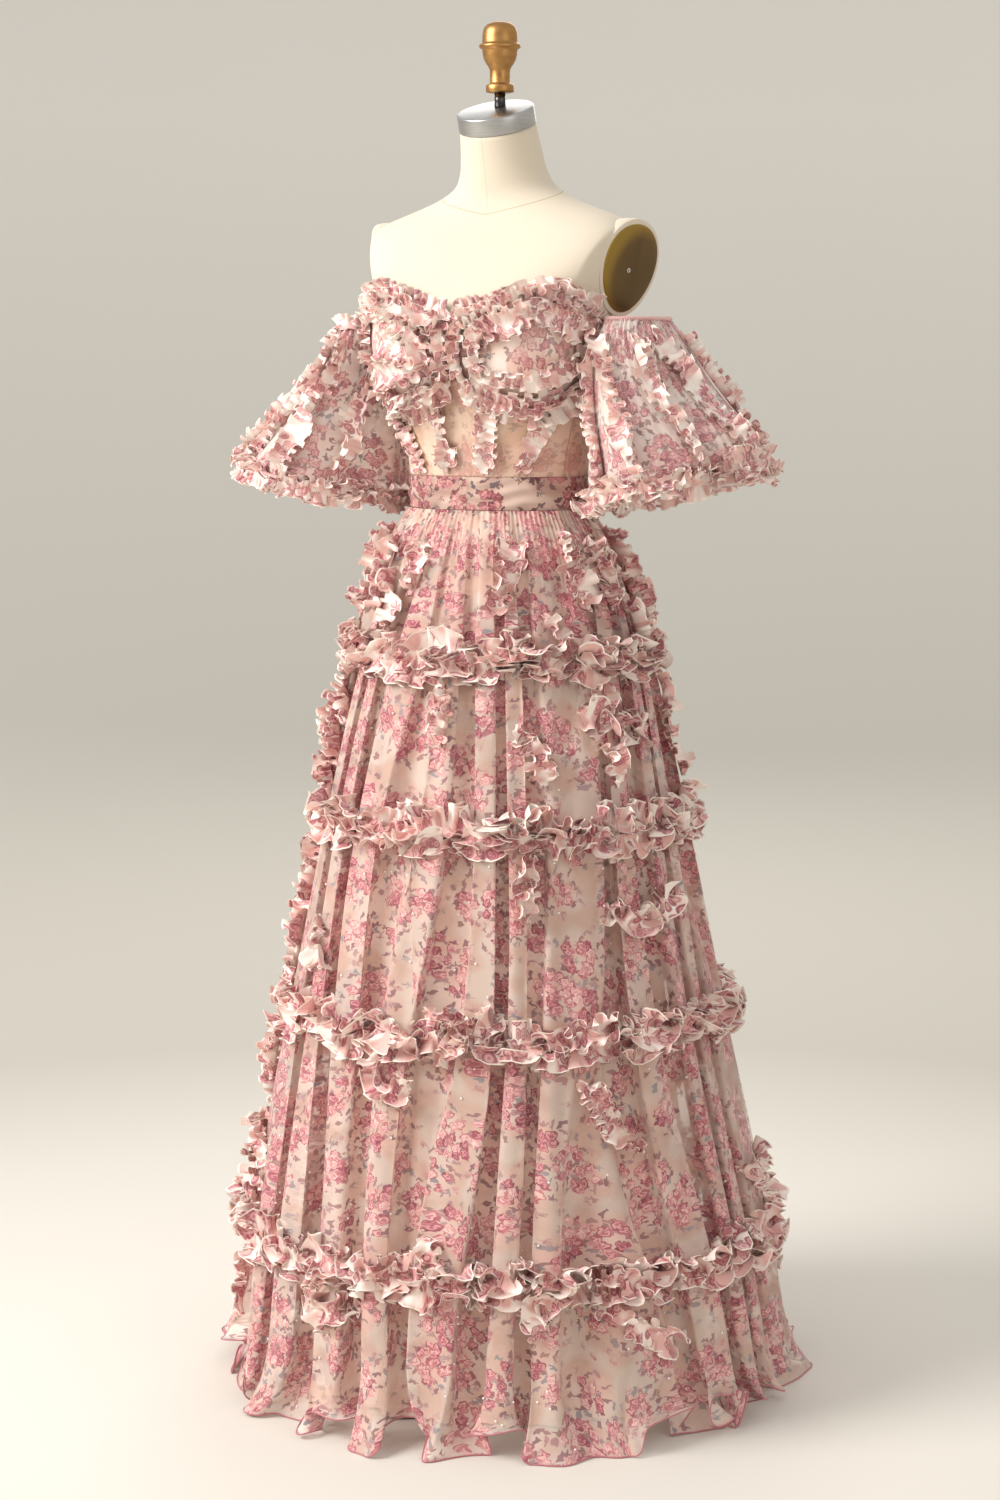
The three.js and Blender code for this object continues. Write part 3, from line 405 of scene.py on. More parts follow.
def makePrint(name, sizes, colors):
    # screen printed bunches of roses and leaves some 6 cm apart, with sprigs between them: the
    # eye meets dusty pink and plum flecks on bare cloth
    tree, cloth = newPrint(name)
    shake = addNode(tree, "ShaderNodeTexNoise", {"noise_dimensions": "2D"},
                    {"Vector": cloth, "Scale": 210.0, "Detail": 0.0})
    centred = addNode(tree, "ShaderNodeVectorMath", {"operation": "SUBTRACT"},
                      {0: shake.outputs["Color"], 1: (0.5, 0.5, 0.5)})
    place = addNode(tree, "ShaderNodeVectorMath", {"operation": "MULTIPLY_ADD"},
                    {0: centred.outputs[0], 1: (0.0065, 0.0065, 0), 2: cloth}).outputs[0]
    bunches = addNode(tree, "ShaderNodeTexVoronoi", {"voronoi_dimensions": "2D"},
                      {"Vector": place, "Scale": 1 / sizes["bunch"], "Randomness": 0.72})
    bunchSize = addNode(tree, "ShaderNodeSeparateColor", None, {0: bunches.outputs["Color"]})

    def motifs(size, shift):
        # cells of one motif: place in the cell, distance, chance values, and how far the
        # motif's centre is from its bunch's, in bunch widths
        scaled = addNode(tree, "ShaderNodeVectorMath", {"operation": "MULTIPLY_ADD"},
                         {0: place, 1: (1 / size, 1 / size, 0), 2: shift})
        cells = addNode(tree, "ShaderNodeTexVoronoi", {"voronoi_dimensions": "2D"},
                        {"Vector": scaled.outputs[0], "Scale": 1.0, "Randomness": 0.85})
        local = addNode(tree, "ShaderNodeVectorMath", {"operation": "SUBTRACT"},
                        {0: scaled.outputs[0], 1: cells.outputs["Position"]})
        parts = addNode(tree, "ShaderNodeSeparateXYZ", None, {0: local.outputs[0]})
        chance = addNode(tree, "ShaderNodeSeparateColor", None, {0: cells.outputs["Color"]})
        centre = addNode(tree, "ShaderNodeVectorMath", {"operation": "MULTIPLY_ADD"},
                         {0: cells.outputs["Position"], 1: (size, size, 0),
                          2: (-shift[0] * size, -shift[1] * size, 0)})
        away = addNode(tree, "ShaderNodeVectorMath", {"operation": "DISTANCE"},
                       {0: centre.outputs[0], 1: bunches.outputs["Position"]})
        return {"x": parts.outputs[0], "y": parts.outputs[1],
                "distance": cells.outputs["Distance"], "chance": chance.outputs,
                "away": away.outputs["Value"]}

    def bearing(cell, times, chance):
        # some times the direction in the cell, turned by a chance value
        angle = addNode(tree, "ShaderNodeMath", {"operation": "ARCTAN2"},
                        {0: cell["y"], 1: cell["x"]})
        start = addNode(tree, "ShaderNodeMath", {"operation": "MULTIPLY"}, {0: chance, 1: 6.283})
        whole = addNode(tree, "ShaderNodeMath", {"operation": "MULTIPLY_ADD"},
                        {0: angle.outputs[0], 1: float(times), 2: start.outputs[0]})
        return whole.outputs[0]

    def within(cell, reach, vary):
        # 1 where the motif is nearer its bunch's centre than the reach, in metres
        limit = addNode(tree, "ShaderNodeMath", {"operation": "MULTIPLY_ADD"},
                        {0: bunchSize.outputs[0], 1: vary, 2: reach})
        return addNode(tree, "ShaderNodeMath", {"operation": "LESS_THAN"},
                       {0: cell["away"], 1: limit.outputs[0]}).outputs[0]

    # roses run together into bunches
    rose = motifs(sizes["rose"], (3.1, 7.7, 0))
    disc, roseColor = drawRose(tree, rose["distance"], bearing(rose, 1, rose["chance"][0]),
                               rose["chance"][2], colors)
    roseMask = addNode(tree, "ShaderNodeMath", {"operation": "MULTIPLY"},
                       {0: disc.outputs[0], 1: within(rose, 0.017, 0.014)})
    inks = addGreenery(tree, motifs, bearing, within, sizes, colors) + [(roseColor, roseMask)]

    # a pale wash of pink lies under each bunch
    wash = addNode(tree, "ShaderNodeMapRange", None,
                   {0: bunches.outputs["Distance"], 1: 0.2, 2: 0.6, 3: 0.5, 4: 0.0})
    color = linear(colors["wash"])
    inked = wash.outputs[0]
    for over, mask in inks:
        mixed = addNode(tree, "ShaderNodeMix", {"data_type": "RGBA"},
                        {0: mask.outputs[0], 6: color, 7: over.outputs[0]})
        color = mixed.outputs[2]
        inked = addNode(tree, "ShaderNodeMath", {"operation": "MAXIMUM"},
                        {0: inked, 1: mask.outputs[0]}).outputs[0]
    addNode(tree, "NodeGroupOutput", None, {"Color": color, "Inked": inked})
    return tree


def makeFrillPrint(name, sizes, colors):
    # the same roses as a narrow gathered strip shows them, in patches with bare cloth between
    tree, cloth = newPrint(name)
    cells = addNode(tree, "ShaderNodeTexVoronoi", {"voronoi_dimensions": "2D"},
                    {"Vector": cloth, "Scale": 1 / sizes["rose"], "Randomness": 0.9})
    chance = addNode(tree, "ShaderNodeSeparateColor", None, {0: cells.outputs["Color"]})
    start = addNode(tree, "ShaderNodeMath", {"operation": "MULTIPLY"},
                    {0: chance.outputs[0], 1: 6.283})
    disc, roseColor = drawRose(tree, cells.outputs["Distance"], start.outputs[0],
                               chance.outputs[2], colors)
    patches = addNode(tree, "ShaderNodeTexNoise", {"noise_dimensions": "2D"},
                      {"Vector": cloth, "Scale": 24.0, "Detail": 0.0})
    covered = addNode(tree, "ShaderNodeMapRange", None,
                      {0: patches.outputs["Fac"], 1: 0.44, 2: 0.5, 3: 0.0, 4: 1.0})
    mask = addNode(tree, "ShaderNodeMath", {"operation": "MULTIPLY"},
                   {0: disc.outputs[0], 1: covered.outputs[0]})
    addNode(tree, "NodeGroupOutput", None,
            {"Color": roseColor.outputs[0], "Inked": mask.outputs[0]})
    return tree


rosePrint = makePrint("rose print", printSizes, printColors)
bandPrint = makePrint("rose print with painted shade", printSizes, shadedBandColors)
frillPrint = makeFrillPrint("frill print", printSizes, printColors)
clothSizes = {  # net is in radians a metre, for holes 1.6 mm apart, and the rest in metres
    "net": 3900.0, "depth": 0.0001, "rolled": 0.0006, "edge": "#fff5ea",
}


def printedCloth(name, ground, inkShare, bare, printed, edge=None, sheen=0.25, blots=26,
                 inks=rosePrint):
    # ground is the bare cloth's colour, bare and printed how much of the light they stop.
    # edge is where a frill's rolled edge starts, from its middle, in metres of its cut.
    material, tree, shader = newMaterial(name)
    cut = addNode(tree, "ShaderNodeUVMap", {"uv_map": "cut"}).outputs[0]
    flowers = addNode(tree, "ShaderNodeGroup", {"node_tree": inks}, {"Cloth": cut})
    ink = addNode(tree, "ShaderNodeMath", {"operation": "MULTIPLY"},
                  {0: flowers.outputs["Inked"], 1: inkShare})
    creases = addNode(tree, "ShaderNodeTexNoise", {"noise_dimensions": "2D"},
                      {"Vector": cut, "Scale": float(blots), "Detail": 0.0})
    spread = addNode(tree, "ShaderNodeMapRange", None,
                     {0: creases.outputs["Fac"], 1: 0.38, 2: 0.6})
    shade = addNode(tree, "ShaderNodeMix", {"data_type": "RGBA"},
                    {0: spread.outputs[0], 6: linear(ground[0]), 7: linear(ground[1])})
    color = addNode(tree, "ShaderNodeMix", {"data_type": "RGBA"},
                    {0: ink.outputs[0], 6: shade.outputs[2],
                     7: flowers.outputs["Color"]}).outputs[2]
    stops = addNode(tree, "ShaderNodeMapRange", None,
                    {0: flowers.outputs["Inked"], 3: bare, 4: printed}).outputs[0]
    if edge:
        parts = addNode(tree, "ShaderNodeSeparateXYZ", None, {0: cut})
        off = addNode(tree, "ShaderNodeMath", {"operation": "ABSOLUTE"}, {0: parts.outputs[1]})
        rim = addNode(tree, "ShaderNodeMapRange", None,
                      {0: off.outputs[0], 1: edge, 2: edge + clothSizes["rolled"], 3: 0.0,
                       4: 1.0}).outputs[0]
        color = addNode(tree, "ShaderNodeMix", {"data_type": "RGBA"},
                        {0: rim, 6: color, 7: linear(clothSizes["edge"])}).outputs[2]
        stops = addNode(tree, "ShaderNodeMapRange", None, {0: rim, 3: stops, 4: 1.0}).outputs[0]
    tree.links.new(color, shader.inputs["Base Color"])
    if printed < 1:
        tree.links.new(stops, shader.inputs["Alpha"])
    # the net's holes
    waves = addNode(tree, "ShaderNodeVectorMath", {"operation": "SCALE"},
                    {0: cut, 3: clothSizes["net"]})
    ripples = addNode(tree, "ShaderNodeVectorMath", {"operation": "SINE"}, {0: waves.outputs[0]})
    rows = addNode(tree, "ShaderNodeSeparateXYZ", None, {0: ripples.outputs[0]})
    net = addNode(tree, "ShaderNodeMath", {"operation": "MULTIPLY"},
                  {0: rows.outputs[0], 1: rows.outputs[1]})
    bump = addNode(tree, "ShaderNodeBump", None,
                   {"Height": net.outputs[0], "Strength": 0.2, "Distance": clothSizes["depth"]})
    tree.links.new(bump.outputs[0], shader.inputs["Normal"])
    shader.inputs["Roughness"].default_value = 0.8
    shader.inputs["Sheen Weight"].default_value = sheen
    shader.inputs["Specular IOR Level"].default_value = 0.25
    return material


tulle = printedCloth("printed tulle", ("#f7d5c5", "#ffeee2"), 0.95, 0.46, 0.93, sheen=0.3)
sleeveTulle = printedCloth("sleeve tulle", ("#fff0e6", "#fff8f0"), 0.87, 0.62, 0.94, sheen=0.3)
frillTulle = printedCloth("frill tulle", ("#edc0b9", "#fff2ea"), 0.88, 1, 1, edge=0.0184,
                          sheen=0.3, blots=40, inks=frillPrint)
paleFrillTulle = printedCloth("pale frill tulle", ("#f6d3cb", "#fff6ef"), 0.8, 1, 1,
                              edge=0.0184, sheen=0.3, blots=44, inks=frillPrint)
cupTulle = printedCloth("gathered tulle over the cups", ("#f3d6c8", "#fff1e7"), 0.75, 1, 1)
# painted shade: the band's ground is darker than the tulle's own, for the shade between its pleats
bandTulle = printedCloth("pleated tulle of the band", ("#b6978b", "#d3b9ac"), 0.95, 1, 1,
                         inks=bandPrint)
bodiceNet = printedCloth("nude net", ("#dcb9a2", "#e8ccb8"), 0.42, 1, 1, sheen=0.15)


def plainCloth(name, colors, grain, depth, rough, sheen=0.2):
    # a plain woven cloth, its threads drawn at the scale they can still be seen
    material, tree, shader = newMaterial(name)
    place = addNode(tree, "ShaderNodeTexCoord").outputs["Object"]
    tint = addNode(tree, "ShaderNodeTexNoise", None,
                   {"Vector": place, "Scale": 9.0, "Detail": 4.0})
    color = addNode(tree, "ShaderNodeMix", {"data_type": "RGBA"},
                    {0: tint.outputs["Fac"], 6: linear(colors[0]), 7: linear(colors[1])})
    tree.links.new(color.outputs[2], shader.inputs["Base Color"])
    threads = addNode(tree, "ShaderNodeTexNoise", None,
                      {"Vector": place, "Scale": grain, "Detail": 2.0})
    bump = addNode(tree, "ShaderNodeBump", None,
                   {"Height": threads.outputs["Fac"], "Strength": depth, "Distance": 0.0005})
    tree.links.new(bump.outputs[0], shader.inputs["Normal"])
    shader.inputs["Roughness"].default_value = rough
    shader.inputs["Sheen Weight"].default_value = sheen
    return material, tree, shader, color


slipCloth = plainCloth("nude lining satin", ("#f1cdbb", "#f8dccd"), 900.0, 0.1, 0.6)[0]
hemThread = plainCloth("rolled hem thread", ("#b76a74", "#c98088"), 1500.0, 0.4, 0.6)[0]
elastic = plainCloth("gathered elastic casing", ("#d99fa2", "#f3d9cf"), 500.0, 0.3, 0.75)[0]


def makeMetal(name, color, rough, stretch, streak, metallic=1.0):
    # streaks of brushing or casting break up the gloss
    material, tree, shader = newMaterial(name)
    place = addNode(tree, "ShaderNodeTexCoord").outputs["Object"]
    laid = addNode(tree, "ShaderNodeMapping", None, {"Vector": place, "Scale": stretch})
    streaks = addNode(tree, "ShaderNodeTexNoise", None,
                      {"Vector": laid.outputs[0], "Scale": 1.0, "Detail": 3.0})
    shade = addNode(tree, "ShaderNodeMix", {"data_type": "RGBA"},
                    {0: streaks.outputs["Fac"], 6: linear(color[0]), 7: linear(color[1])})
    tree.links.new(shade.outputs[2], shader.inputs["Base Color"])
    gloss = addNode(tree, "ShaderNodeMapRange", None,
                    {0: streaks.outputs["Fac"], 3: rough[0], 4: rough[1]})
    tree.links.new(gloss.outputs[0], shader.inputs["Roughness"])
    bump = addNode(tree, "ShaderNodeBump", None,
                   {"Height": streaks.outputs["Fac"], "Strength": streak, "Distance": 0.0003})
    tree.links.new(bump.outputs[0], shader.inputs["Normal"])
    shader.inputs["Metallic"].default_value = metallic
    return material, tree, shader, shade


brushedSteel = makeMetal("brushed steel", ("#a9a9aa", "#d2d2d2"), (0.26, 0.4),
                         (30, 30, 900), 0.2)[0]
darkSteel = makeMetal("dark steel rod", ("#3b3a39", "#6a6867"), (0.2, 0.35),
                      (300, 300, 20), 0.2)[0]
satinGold = makeMetal("satin gold paint", ("#a97a45", "#c99c66"), (0.3, 0.46),
                      (60, 60, 160), 0.25)[0]
zinc = makeMetal("zinc screw", ("#c4c2bb", "#e0ded8"), (0.25, 0.35), (600, 600, 600), 0.2)[0]
zipLacquer = makeMetal("dyed zip lacquer", ("#d8b0a6", "#e5c3b8"), (0.3, 0.4),
                       (400, 400, 400), 0.1, 0.2)[0]


def makeBronze(plate):
    # lacquered brass, brown, with a painted highlight: it turns lighter gold toward the rim, most
    # at the front and top
    material, tree, shader, shade = makeMetal("brass plate with painted highlight", ("#5a4528", "#80653e"),
                                              (0.3, 0.42), (14, 30, 10), 0.15, 0.75)
    place = addNode(tree, "ShaderNodeTexCoord").outputs["Object"]
    # painted highlight: the middle of the brown is set back and down, so the rim turns lightest
    # gold at the front and top
    centred = addNode(tree, "ShaderNodeVectorMath", {"operation": "SUBTRACT"},
                      {0: place, 1: (0, plate["y"] / 1000 + 0.012, plate["z"] / 1000 - 0.008)})
    scaled = addNode(tree, "ShaderNodeVectorMath", {"operation": "MULTIPLY"},
                     {0: centred.outputs[0],
                      1: (0, 1000 / plate["halfDepth"], 1000 / plate["halfHeight"])})
    off = addNode(tree, "ShaderNodeVectorMath", {"operation": "LENGTH"}, {0: scaled.outputs[0]})
    rim = addNode(tree, "ShaderNodeMapRange", {"interpolation_type": "SMOOTHSTEP"},
                  {0: off.outputs["Value"], 1: 0.72, 2: 1.12, 3: 0.0, 4: 1.0})
    color = addNode(tree, "ShaderNodeMix", {"data_type": "RGBA"},
                    {0: rim.outputs[0], 6: shade.outputs[2], 7: linear("#a5853c")})
    tree.links.new(color.outputs[2], shader.inputs["Base Color"])
    return material


seamSizes = {"z": 1.5025, "rise": 0.18, "lean": 0.245, "front": -0.045, "half": 0.0005}


def makeCanvas(sizes):
    # cotton canvas drawn over the form: matt and cream, a fine even weave. The neck is a
    # piece of its own, pointed at the centre front, and its seams show as thin lines.
    material, tree, shader, color = plainCloth("cream canvas", ("#e0d3bf", "#e6dbc9"),
                                               1400.0, 0.16, 0.85, 0.1)
    place = addNode(tree, "ShaderNodeTexCoord").outputs["Object"]
    parts = addNode(tree, "ShaderNodeSeparateXYZ", None, {0: place})
    side = addNode(tree, "ShaderNodeMath", {"operation": "ABSOLUTE"}, {0: parts.outputs[0]})
    risen = addNode(tree, "ShaderNodeMath", {"operation": "MULTIPLY_ADD"},
                    {0: side.outputs[0], 1: sizes["rise"], 2: sizes["z"]})
    back = addNode(tree, "ShaderNodeMath", {"operation": "SUBTRACT"},
                   {0: parts.outputs[1], 1: sizes["front"]})
    seam = addNode(tree, "ShaderNodeMath", {"operation": "MULTIPLY_ADD"},
                   {0: back.outputs[0], 1: sizes["lean"], 2: risen.outputs[0]})
    above = addNode(tree, "ShaderNodeMath", {"operation": "SUBTRACT"},
                    {0: parts.outputs[2], 1: seam.outputs[0]})
    off = addNode(tree, "ShaderNodeMath", {"operation": "ABSOLUTE"}, {0: above.outputs[0]})
    neckLine = addNode(tree, "ShaderNodeMapRange", None,
                       {0: off.outputs[0], 1: 0.0, 2: sizes["half"] * 1.6, 3: 1.0, 4: 0.0})
    middle = addNode(tree, "ShaderNodeMapRange", None,
                     {0: side.outputs[0], 1: 0.0, 2: sizes["half"] * 1.4, 3: 0.6, 4: 0.0})
    onNeck = addNode(tree, "ShaderNodeMath", {"operation": "GREATER_THAN"},
                     {0: above.outputs[0], 1: 0.0})
    middleLine = addNode(tree, "ShaderNodeMath", {"operation": "MULTIPLY"},
                         {0: middle.outputs[0], 1: onNeck.outputs[0]})
    lines = addNode(tree, "ShaderNodeMath", {"operation": "MAXIMUM"},
                    {0: neckLine.outputs[0], 1: middleLine.outputs[0]})
    sewn = addNode(tree, "ShaderNodeMix", {"data_type": "RGBA"},
                   {0: lines.outputs[0], 6: color.outputs[2], 7: linear("#b9a888")})
    tree.links.new(sewn.outputs[2], shader.inputs["Base Color"])
    return material


canvas = makeCanvas(seamSizes)
bronze = makeBronze(plateSizes)
print("materials made")


# dress form
formSizes = {
    "sides": 200, "coarseStep": 40, "coarseBelow": 1320, "fineRows": 60,
    "drawn": {  # the shoulders are squarer than the rings the gown hangs on
        "square": [2.1, 2.1, 2.1, 2, 2, 2, 2, 2, 2, 2.1, 2.3, 3, 3.5, 3.3, 2.7, 2.2, 2, 2, 2, 2, 2],
        "half": [154, 161, 159, 143, 118, 116, 118, 129, 141, 149, 160, 172, 180, 179,
                 162, 134, 98, 69, 57, 52, 48],
    },
    "armIn": 2, "armSoft": 4,  # how far in the armhole's flat starts, and how softly
    "armHeight": 62, "armDepth": 59, "armEgg": 0.08,
    "armRim": [(0.84, -34), (0.92, -23), (0.97, -13), (0.995, -5), (1.0, 1.6), (0.99, 3.0),
               (0.965, 3.4), (0.5, 3.4)],
}


def makeTorso(sizes, plate):
    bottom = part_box("form_torso")[0][2] * 1000
    low = np.arange(bottom, sizes["coarseBelow"], sizes["coarseStep"])
    last = formRings["z"][-1]
    levels = np.concatenate([low, np.linspace(sizes["coarseBelow"], last, sizes["fineRows"])])
    angles = np.arange(sizes["sides"]) * 360 / sizes["sides"]
    z = levels[:, None] + 0 * angles[None, :]
    points = ringPoint(dict(formRings, **sizes["drawn"]), angles[None, :], z)
    tilt = np.radians(curve(formRings, "tilt", z))
    y0 = curve(formRings, "y", z)
    dy = points[..., 1] - y0
    points[..., 1] = y0 + dy * np.cos(tilt)
    points[..., 2] = z + dy * np.sin(tilt)
    for side in (1, -1):
        out = armAxes(side, plate)[0]
        past = (points - [side * (plate["x"] - sizes["armIn"]), plate["y"], plate["z"]]) @ out
        rounded = sizes["armSoft"] * (1 - np.exp(-np.maximum(past, 0) / sizes["armSoft"]))
        points = points - (np.maximum(past, 0) - rounded)[..., None] * out
    closing = [np.repeat(points[k].mean(0)[None], len(angles), 0) for k in (0, -1)]
    points = np.concatenate([closing[0][None], points, closing[1][None]])
    grids = [{"points": points, "flat": layFlat(points, True), "loop": True}]
    for side in (1, -1):
        grids.append(armDisc(side, plate, sizes["armRim"], sizes["armHeight"], sizes["armDepth"],
                             egg=sizes["armEgg"]))
    settle(makePiece("canvas_form", grids, canvas), "canvas", "form_torso")


def armDisc(side, sizes, rows, height, depth, at=(0, 0), egg=0.0):
    # rings round the armhole's axis: each row a share of the oval and how far it stands out
    out, up, back = armAxes(side, sizes)
    centre = np.array([side * sizes["x"], sizes["y"], sizes["z"]])
    angles = np.radians(np.arange(96) * 3.75)
    wide = depth * (1 + egg * np.cos(angles)) * np.sin(angles)
    high = height * np.cos(angles)
    grid = []
    for share, stand in rows:
        ring = (centre + out * stand + (at[1] + share * high)[:, None] * up
                + (at[0] + share * wide)[:, None] * back)
        grid.append(ring)
    points = np.array(grid)
    return {"points": points, "flat": layFlat(points, True), "loop": True, "flip": side < 0}


def turnedShape(profile, sides, foot, lean=0.0, seat=(0, 0, 0)):
    # a turned shape round Z, leaning back about its seat
    radius = np.array([row[0] for row in profile], float)
    up = np.array([row[1] for row in profile], float) + foot
    angles = np.radians(np.arange(sides) * 360 / sides)
    x = radius[:, None] * np.sin(angles)
    y = -radius[:, None] * np.cos(angles)
    z = up[:, None] + 0 * x
    c, s = math.cos(lean), math.sin(lean)
    points = np.stack([x, y * c - z * s, y * s + z * c], -1) + np.array(seat)
    return {"points": points, "flat": layFlat(points, True), "loop": True}


finialProfile = [
    (0, 0), (15, 0), (17.2, 0.6), (17.8, 2), (17.8, 8.2), (17.2, 9.6), (14.6, 10.6), (13.2, 11.6),
    (12.8, 13), (12.7, 20), (12.7, 26), (13.2, 29), (15, 32.4), (17.8, 36.4), (20.2, 41),
    (21.6, 46), (22.2, 51), (22.6, 53.4), (24.2, 54.4), (26, 55.4), (26.4, 57.4), (26, 59),
    (24, 60.2), (22.7, 61.2), (22.4, 63), (22.2, 70), (21.6, 75.4), (20, 80.2), (16.8, 84),
    (12, 86.4), (6, 87.4), (0, 87.7),
]
capProfile = [
    (0, 0), (46, 0), (48.6, 0.5), (49, 1.6), (49, 20.4), (48.6, 21.8), (47.4, 22.6), (46, 22.9),
    (0, 22.9),
]


headSizes = {"lean": 19, "seat": (0, -6, 1613.3), "crisp": 0.6, "rod": 7, "rodIn": 1}
holeSizes = {"up": 21.5, "neck": 12.7, "size": 1.9, "facing": 27}


def makeHead(sizes):
    lean = math.radians(sizes["lean"])
    grid = turnedShape(capProfile, 128, 0, lean, sizes["seat"])
    cap = makePiece("neck_cap", [grid], brushedSteel)
    edges = cap.modifiers.new("crisp edges", "BEVEL")
    edges.width = sizes["crisp"] / 1000
    edges.segments = 2
    edges.limit_method = "ANGLE"
    settle(cap, "steel", "form_neck_cap")
    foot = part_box("form_finial")[0][2] * 1000
    finial = makePiece("turned_finial", [turnedShape(finialProfile, 96, foot)], satinGold)
    settle(finial, "gold", "form_finial")
    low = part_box("form_cap_rod")[0][2] * 1000
    top = foot - low - 1.5 * sizes["rodIn"]
    rodProfile = [(0, 0), (sizes["rod"], 0), (sizes["rod"], top), (0, top)]
    rod = makePiece("cap_rod", [turnedShape(rodProfile, 48, low + sizes["rodIn"])], darkSteel)
    settle(rod, "dark_steel", "form_cap_rod")
    # painted shade: the hole is a shallow dish made dark with the dark steel, in place of the shade
    # in its depth
    hole = makePiece("finial_hole", [pinHole(foot, holeSizes)], darkSteel)
    settle(hole, "dark_steel")


def pinHole(foot, sizes):
    # the rim and floor of a cross hole for a tommy bar, in the finial's neck: a shallow dish in
    # dark steel, its darkness painted shade for the hole's depth
    rows = [(1.15, 0.1), (1, 0.35), (0.94, -0.3), (0.9, -1.2), (0, -1.2)]
    angles = np.radians(np.arange(24) * 15)
    facing = math.radians(sizes["facing"])
    out = np.array([math.sin(facing), -math.cos(facing), 0])
    side = np.array([math.cos(facing), math.sin(facing), 0])
    grid = []
    for share, stand in rows:
        reach = sizes["size"] * share
        ring = [out * (sizes["neck"] + stand) + side * reach * math.cos(a)
                + np.array([0, 0, reach * math.sin(a)]) for a in angles]
        grid.append(ring)
    points = np.array(grid) + [0, 0, foot + sizes["up"]]
    return {"points": points, "flat": layFlat(points, True), "loop": True}


def armPlate(side, sizes):
    # an oval plate with rounded rims and a slight dome, and its screw in a cup washer
    thick, dome = sizes["thick"], sizes["dome"]
    rim = [(0, 0.3), (0.985, 0.3), (1, 1.2), (1.0, thick - 1.2), (0.985, thick - 0.3),
           (0.955, thick)]
    rim += [(s, thick + dome * (1 - s * s)) for s in (0.85, 0.7, 0.5, 0.3, 0.12, 0)]
    name = "left" if side > 0 else "right"
    grid = armDisc(side, sizes, rim, sizes["halfHeight"], sizes["halfDepth"], egg=sizes["egg"])
    plate = makePiece(f"arm_plate_{name}", [grid], bronze)
    settle(plate, "bronze", f"form_arm_plate_{name}")
    head = thick + dome
    washer = [(1, head - 0.6), (1, head + 0.5), (0.8, head + 1.0), (0.55, head + 0.7),
              (0.5, head - 0.2), (0, head - 0.2)]
    grid = armDisc(side, sizes, washer, sizes["screw"], sizes["screw"], sizes["screwAt"])
    settle(makePiece(f"arm_screw_{name}", [grid], zinc), "steel")


makeTorso(formSizes, plateSizes)
makeHead(headSizes)
for side in (1, -1):
    armPlate(side, plateSizes)
recoat(("form_pole", "form_base"), brushedSteel)
print("dress form made")


# skirt
skirtSizes = {"folds": 23, "roll": 1.35, "columns": 1150, "rows": 20, "fine": 126,
              "fineDepth": 1.6, "fineReach": 26, "waistReach": 60}
foldSizes = {  # how deep the folds fall inward from their crests
    "z": [0, 45, 204, 491, 741, 952, 1085, 1136],
    "deep": [43, 41, 35, 28, 22, 15, 8, 1.5],
}
hemSizes = {"rows": 26, "reach": 105, "waves": 17, "flare": 7, "wave": 11, "swing": 26,
            "lift": 44, "rolled": 0.95}
seams = [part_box(f"skirt_tier_{k}_front")[0][2] * 1000 for k in range(1, 6)]
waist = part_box("skirt_tier_1_front")[1][2] * 1000


def foldPhase(turns, z):
    # the folds are uneven in width and lean a little as they fall
    uneven = 0.7 * drift(turns, 11, 2, 6) + 0.26 * drift(turns, 12, 9, 6)
    lean = 0.3 * np.sin(2 * np.pi * (z / 1300 + 0.4 * drift(turns, 13, 1, 4)))
    return 2 * np.pi * (skirtSizes["folds"] * turns + uneven + lean)


def nearSeams(z, below, above):
    # 1 at the waist and the tier seams, fading down and up from them
    near = 0.0
    for k, seam in enumerate([waist] + seams[:4]):
        down = np.where(z <= seam + 1, np.exp(-np.maximum(seam - z, 0) / below[min(k, 1)]), 0)
        up = np.where(z > seam + 1, np.exp(-np.maximum(z - seam, 0) / above), 0) if k else 0
        near = near + down + 0.7 * up
    return near


def skirtShape(turns, z, share=1.0, roll=1.0):
    # turns go from 0 to 1 round the skirt from the centre front. Folds have broad flat crests
    # that overhang narrow troughs, and fine gathers spread from each seam.
    s = skirtSizes
    z = np.clip(z, 0, skirtRings["z"][-1])
    phase = foldPhase(turns, z)
    each = 1 + 0.3 * drift(turns, 14, 5, 14) + 0.12 * np.sin(z / 130 + 60 * turns)
    deep = curve(foldSizes, "deep", z) * each * (1 - 0.3 * nearSeams(z, (30, 22), 14))
    crest = (np.tanh(1.7 * (np.cos(phase) + 0.2)) + 0.88) / 1.85
    small = 0.09 * deep * np.cos(3 * phase + 4 * drift(turns, 15, 4, 7) + z / 210)
    sideways = s["roll"] * (1 + 0.4 * drift(turns, 16, 5, 9) + 0.15 * np.sin(z / 85 + 47 * turns))
    sideways = sideways * np.clip((1125 - z) / 140, 0.1, 1) * roll
    at = turns + sideways * np.sin(2 * phase) / (4 * np.pi * s["folds"])
    gathers = np.cos(2 * np.pi * (s["fine"] * turns + 1.1 * drift(turns, 17, 7, 8)))
    fine = s["fineDepth"] * nearSeams(z, (s["waistReach"], s["fineReach"]), 12) * gathers
    fine = fine * (0.75 + 0.4 * drift(turns, 18, 9, 8))
    push = curve(skirtRings, "fold", z) - share * deep * (1 - crest) + small + share * fine
    return ringPoint(skirtRings, 360 * at, z, push)


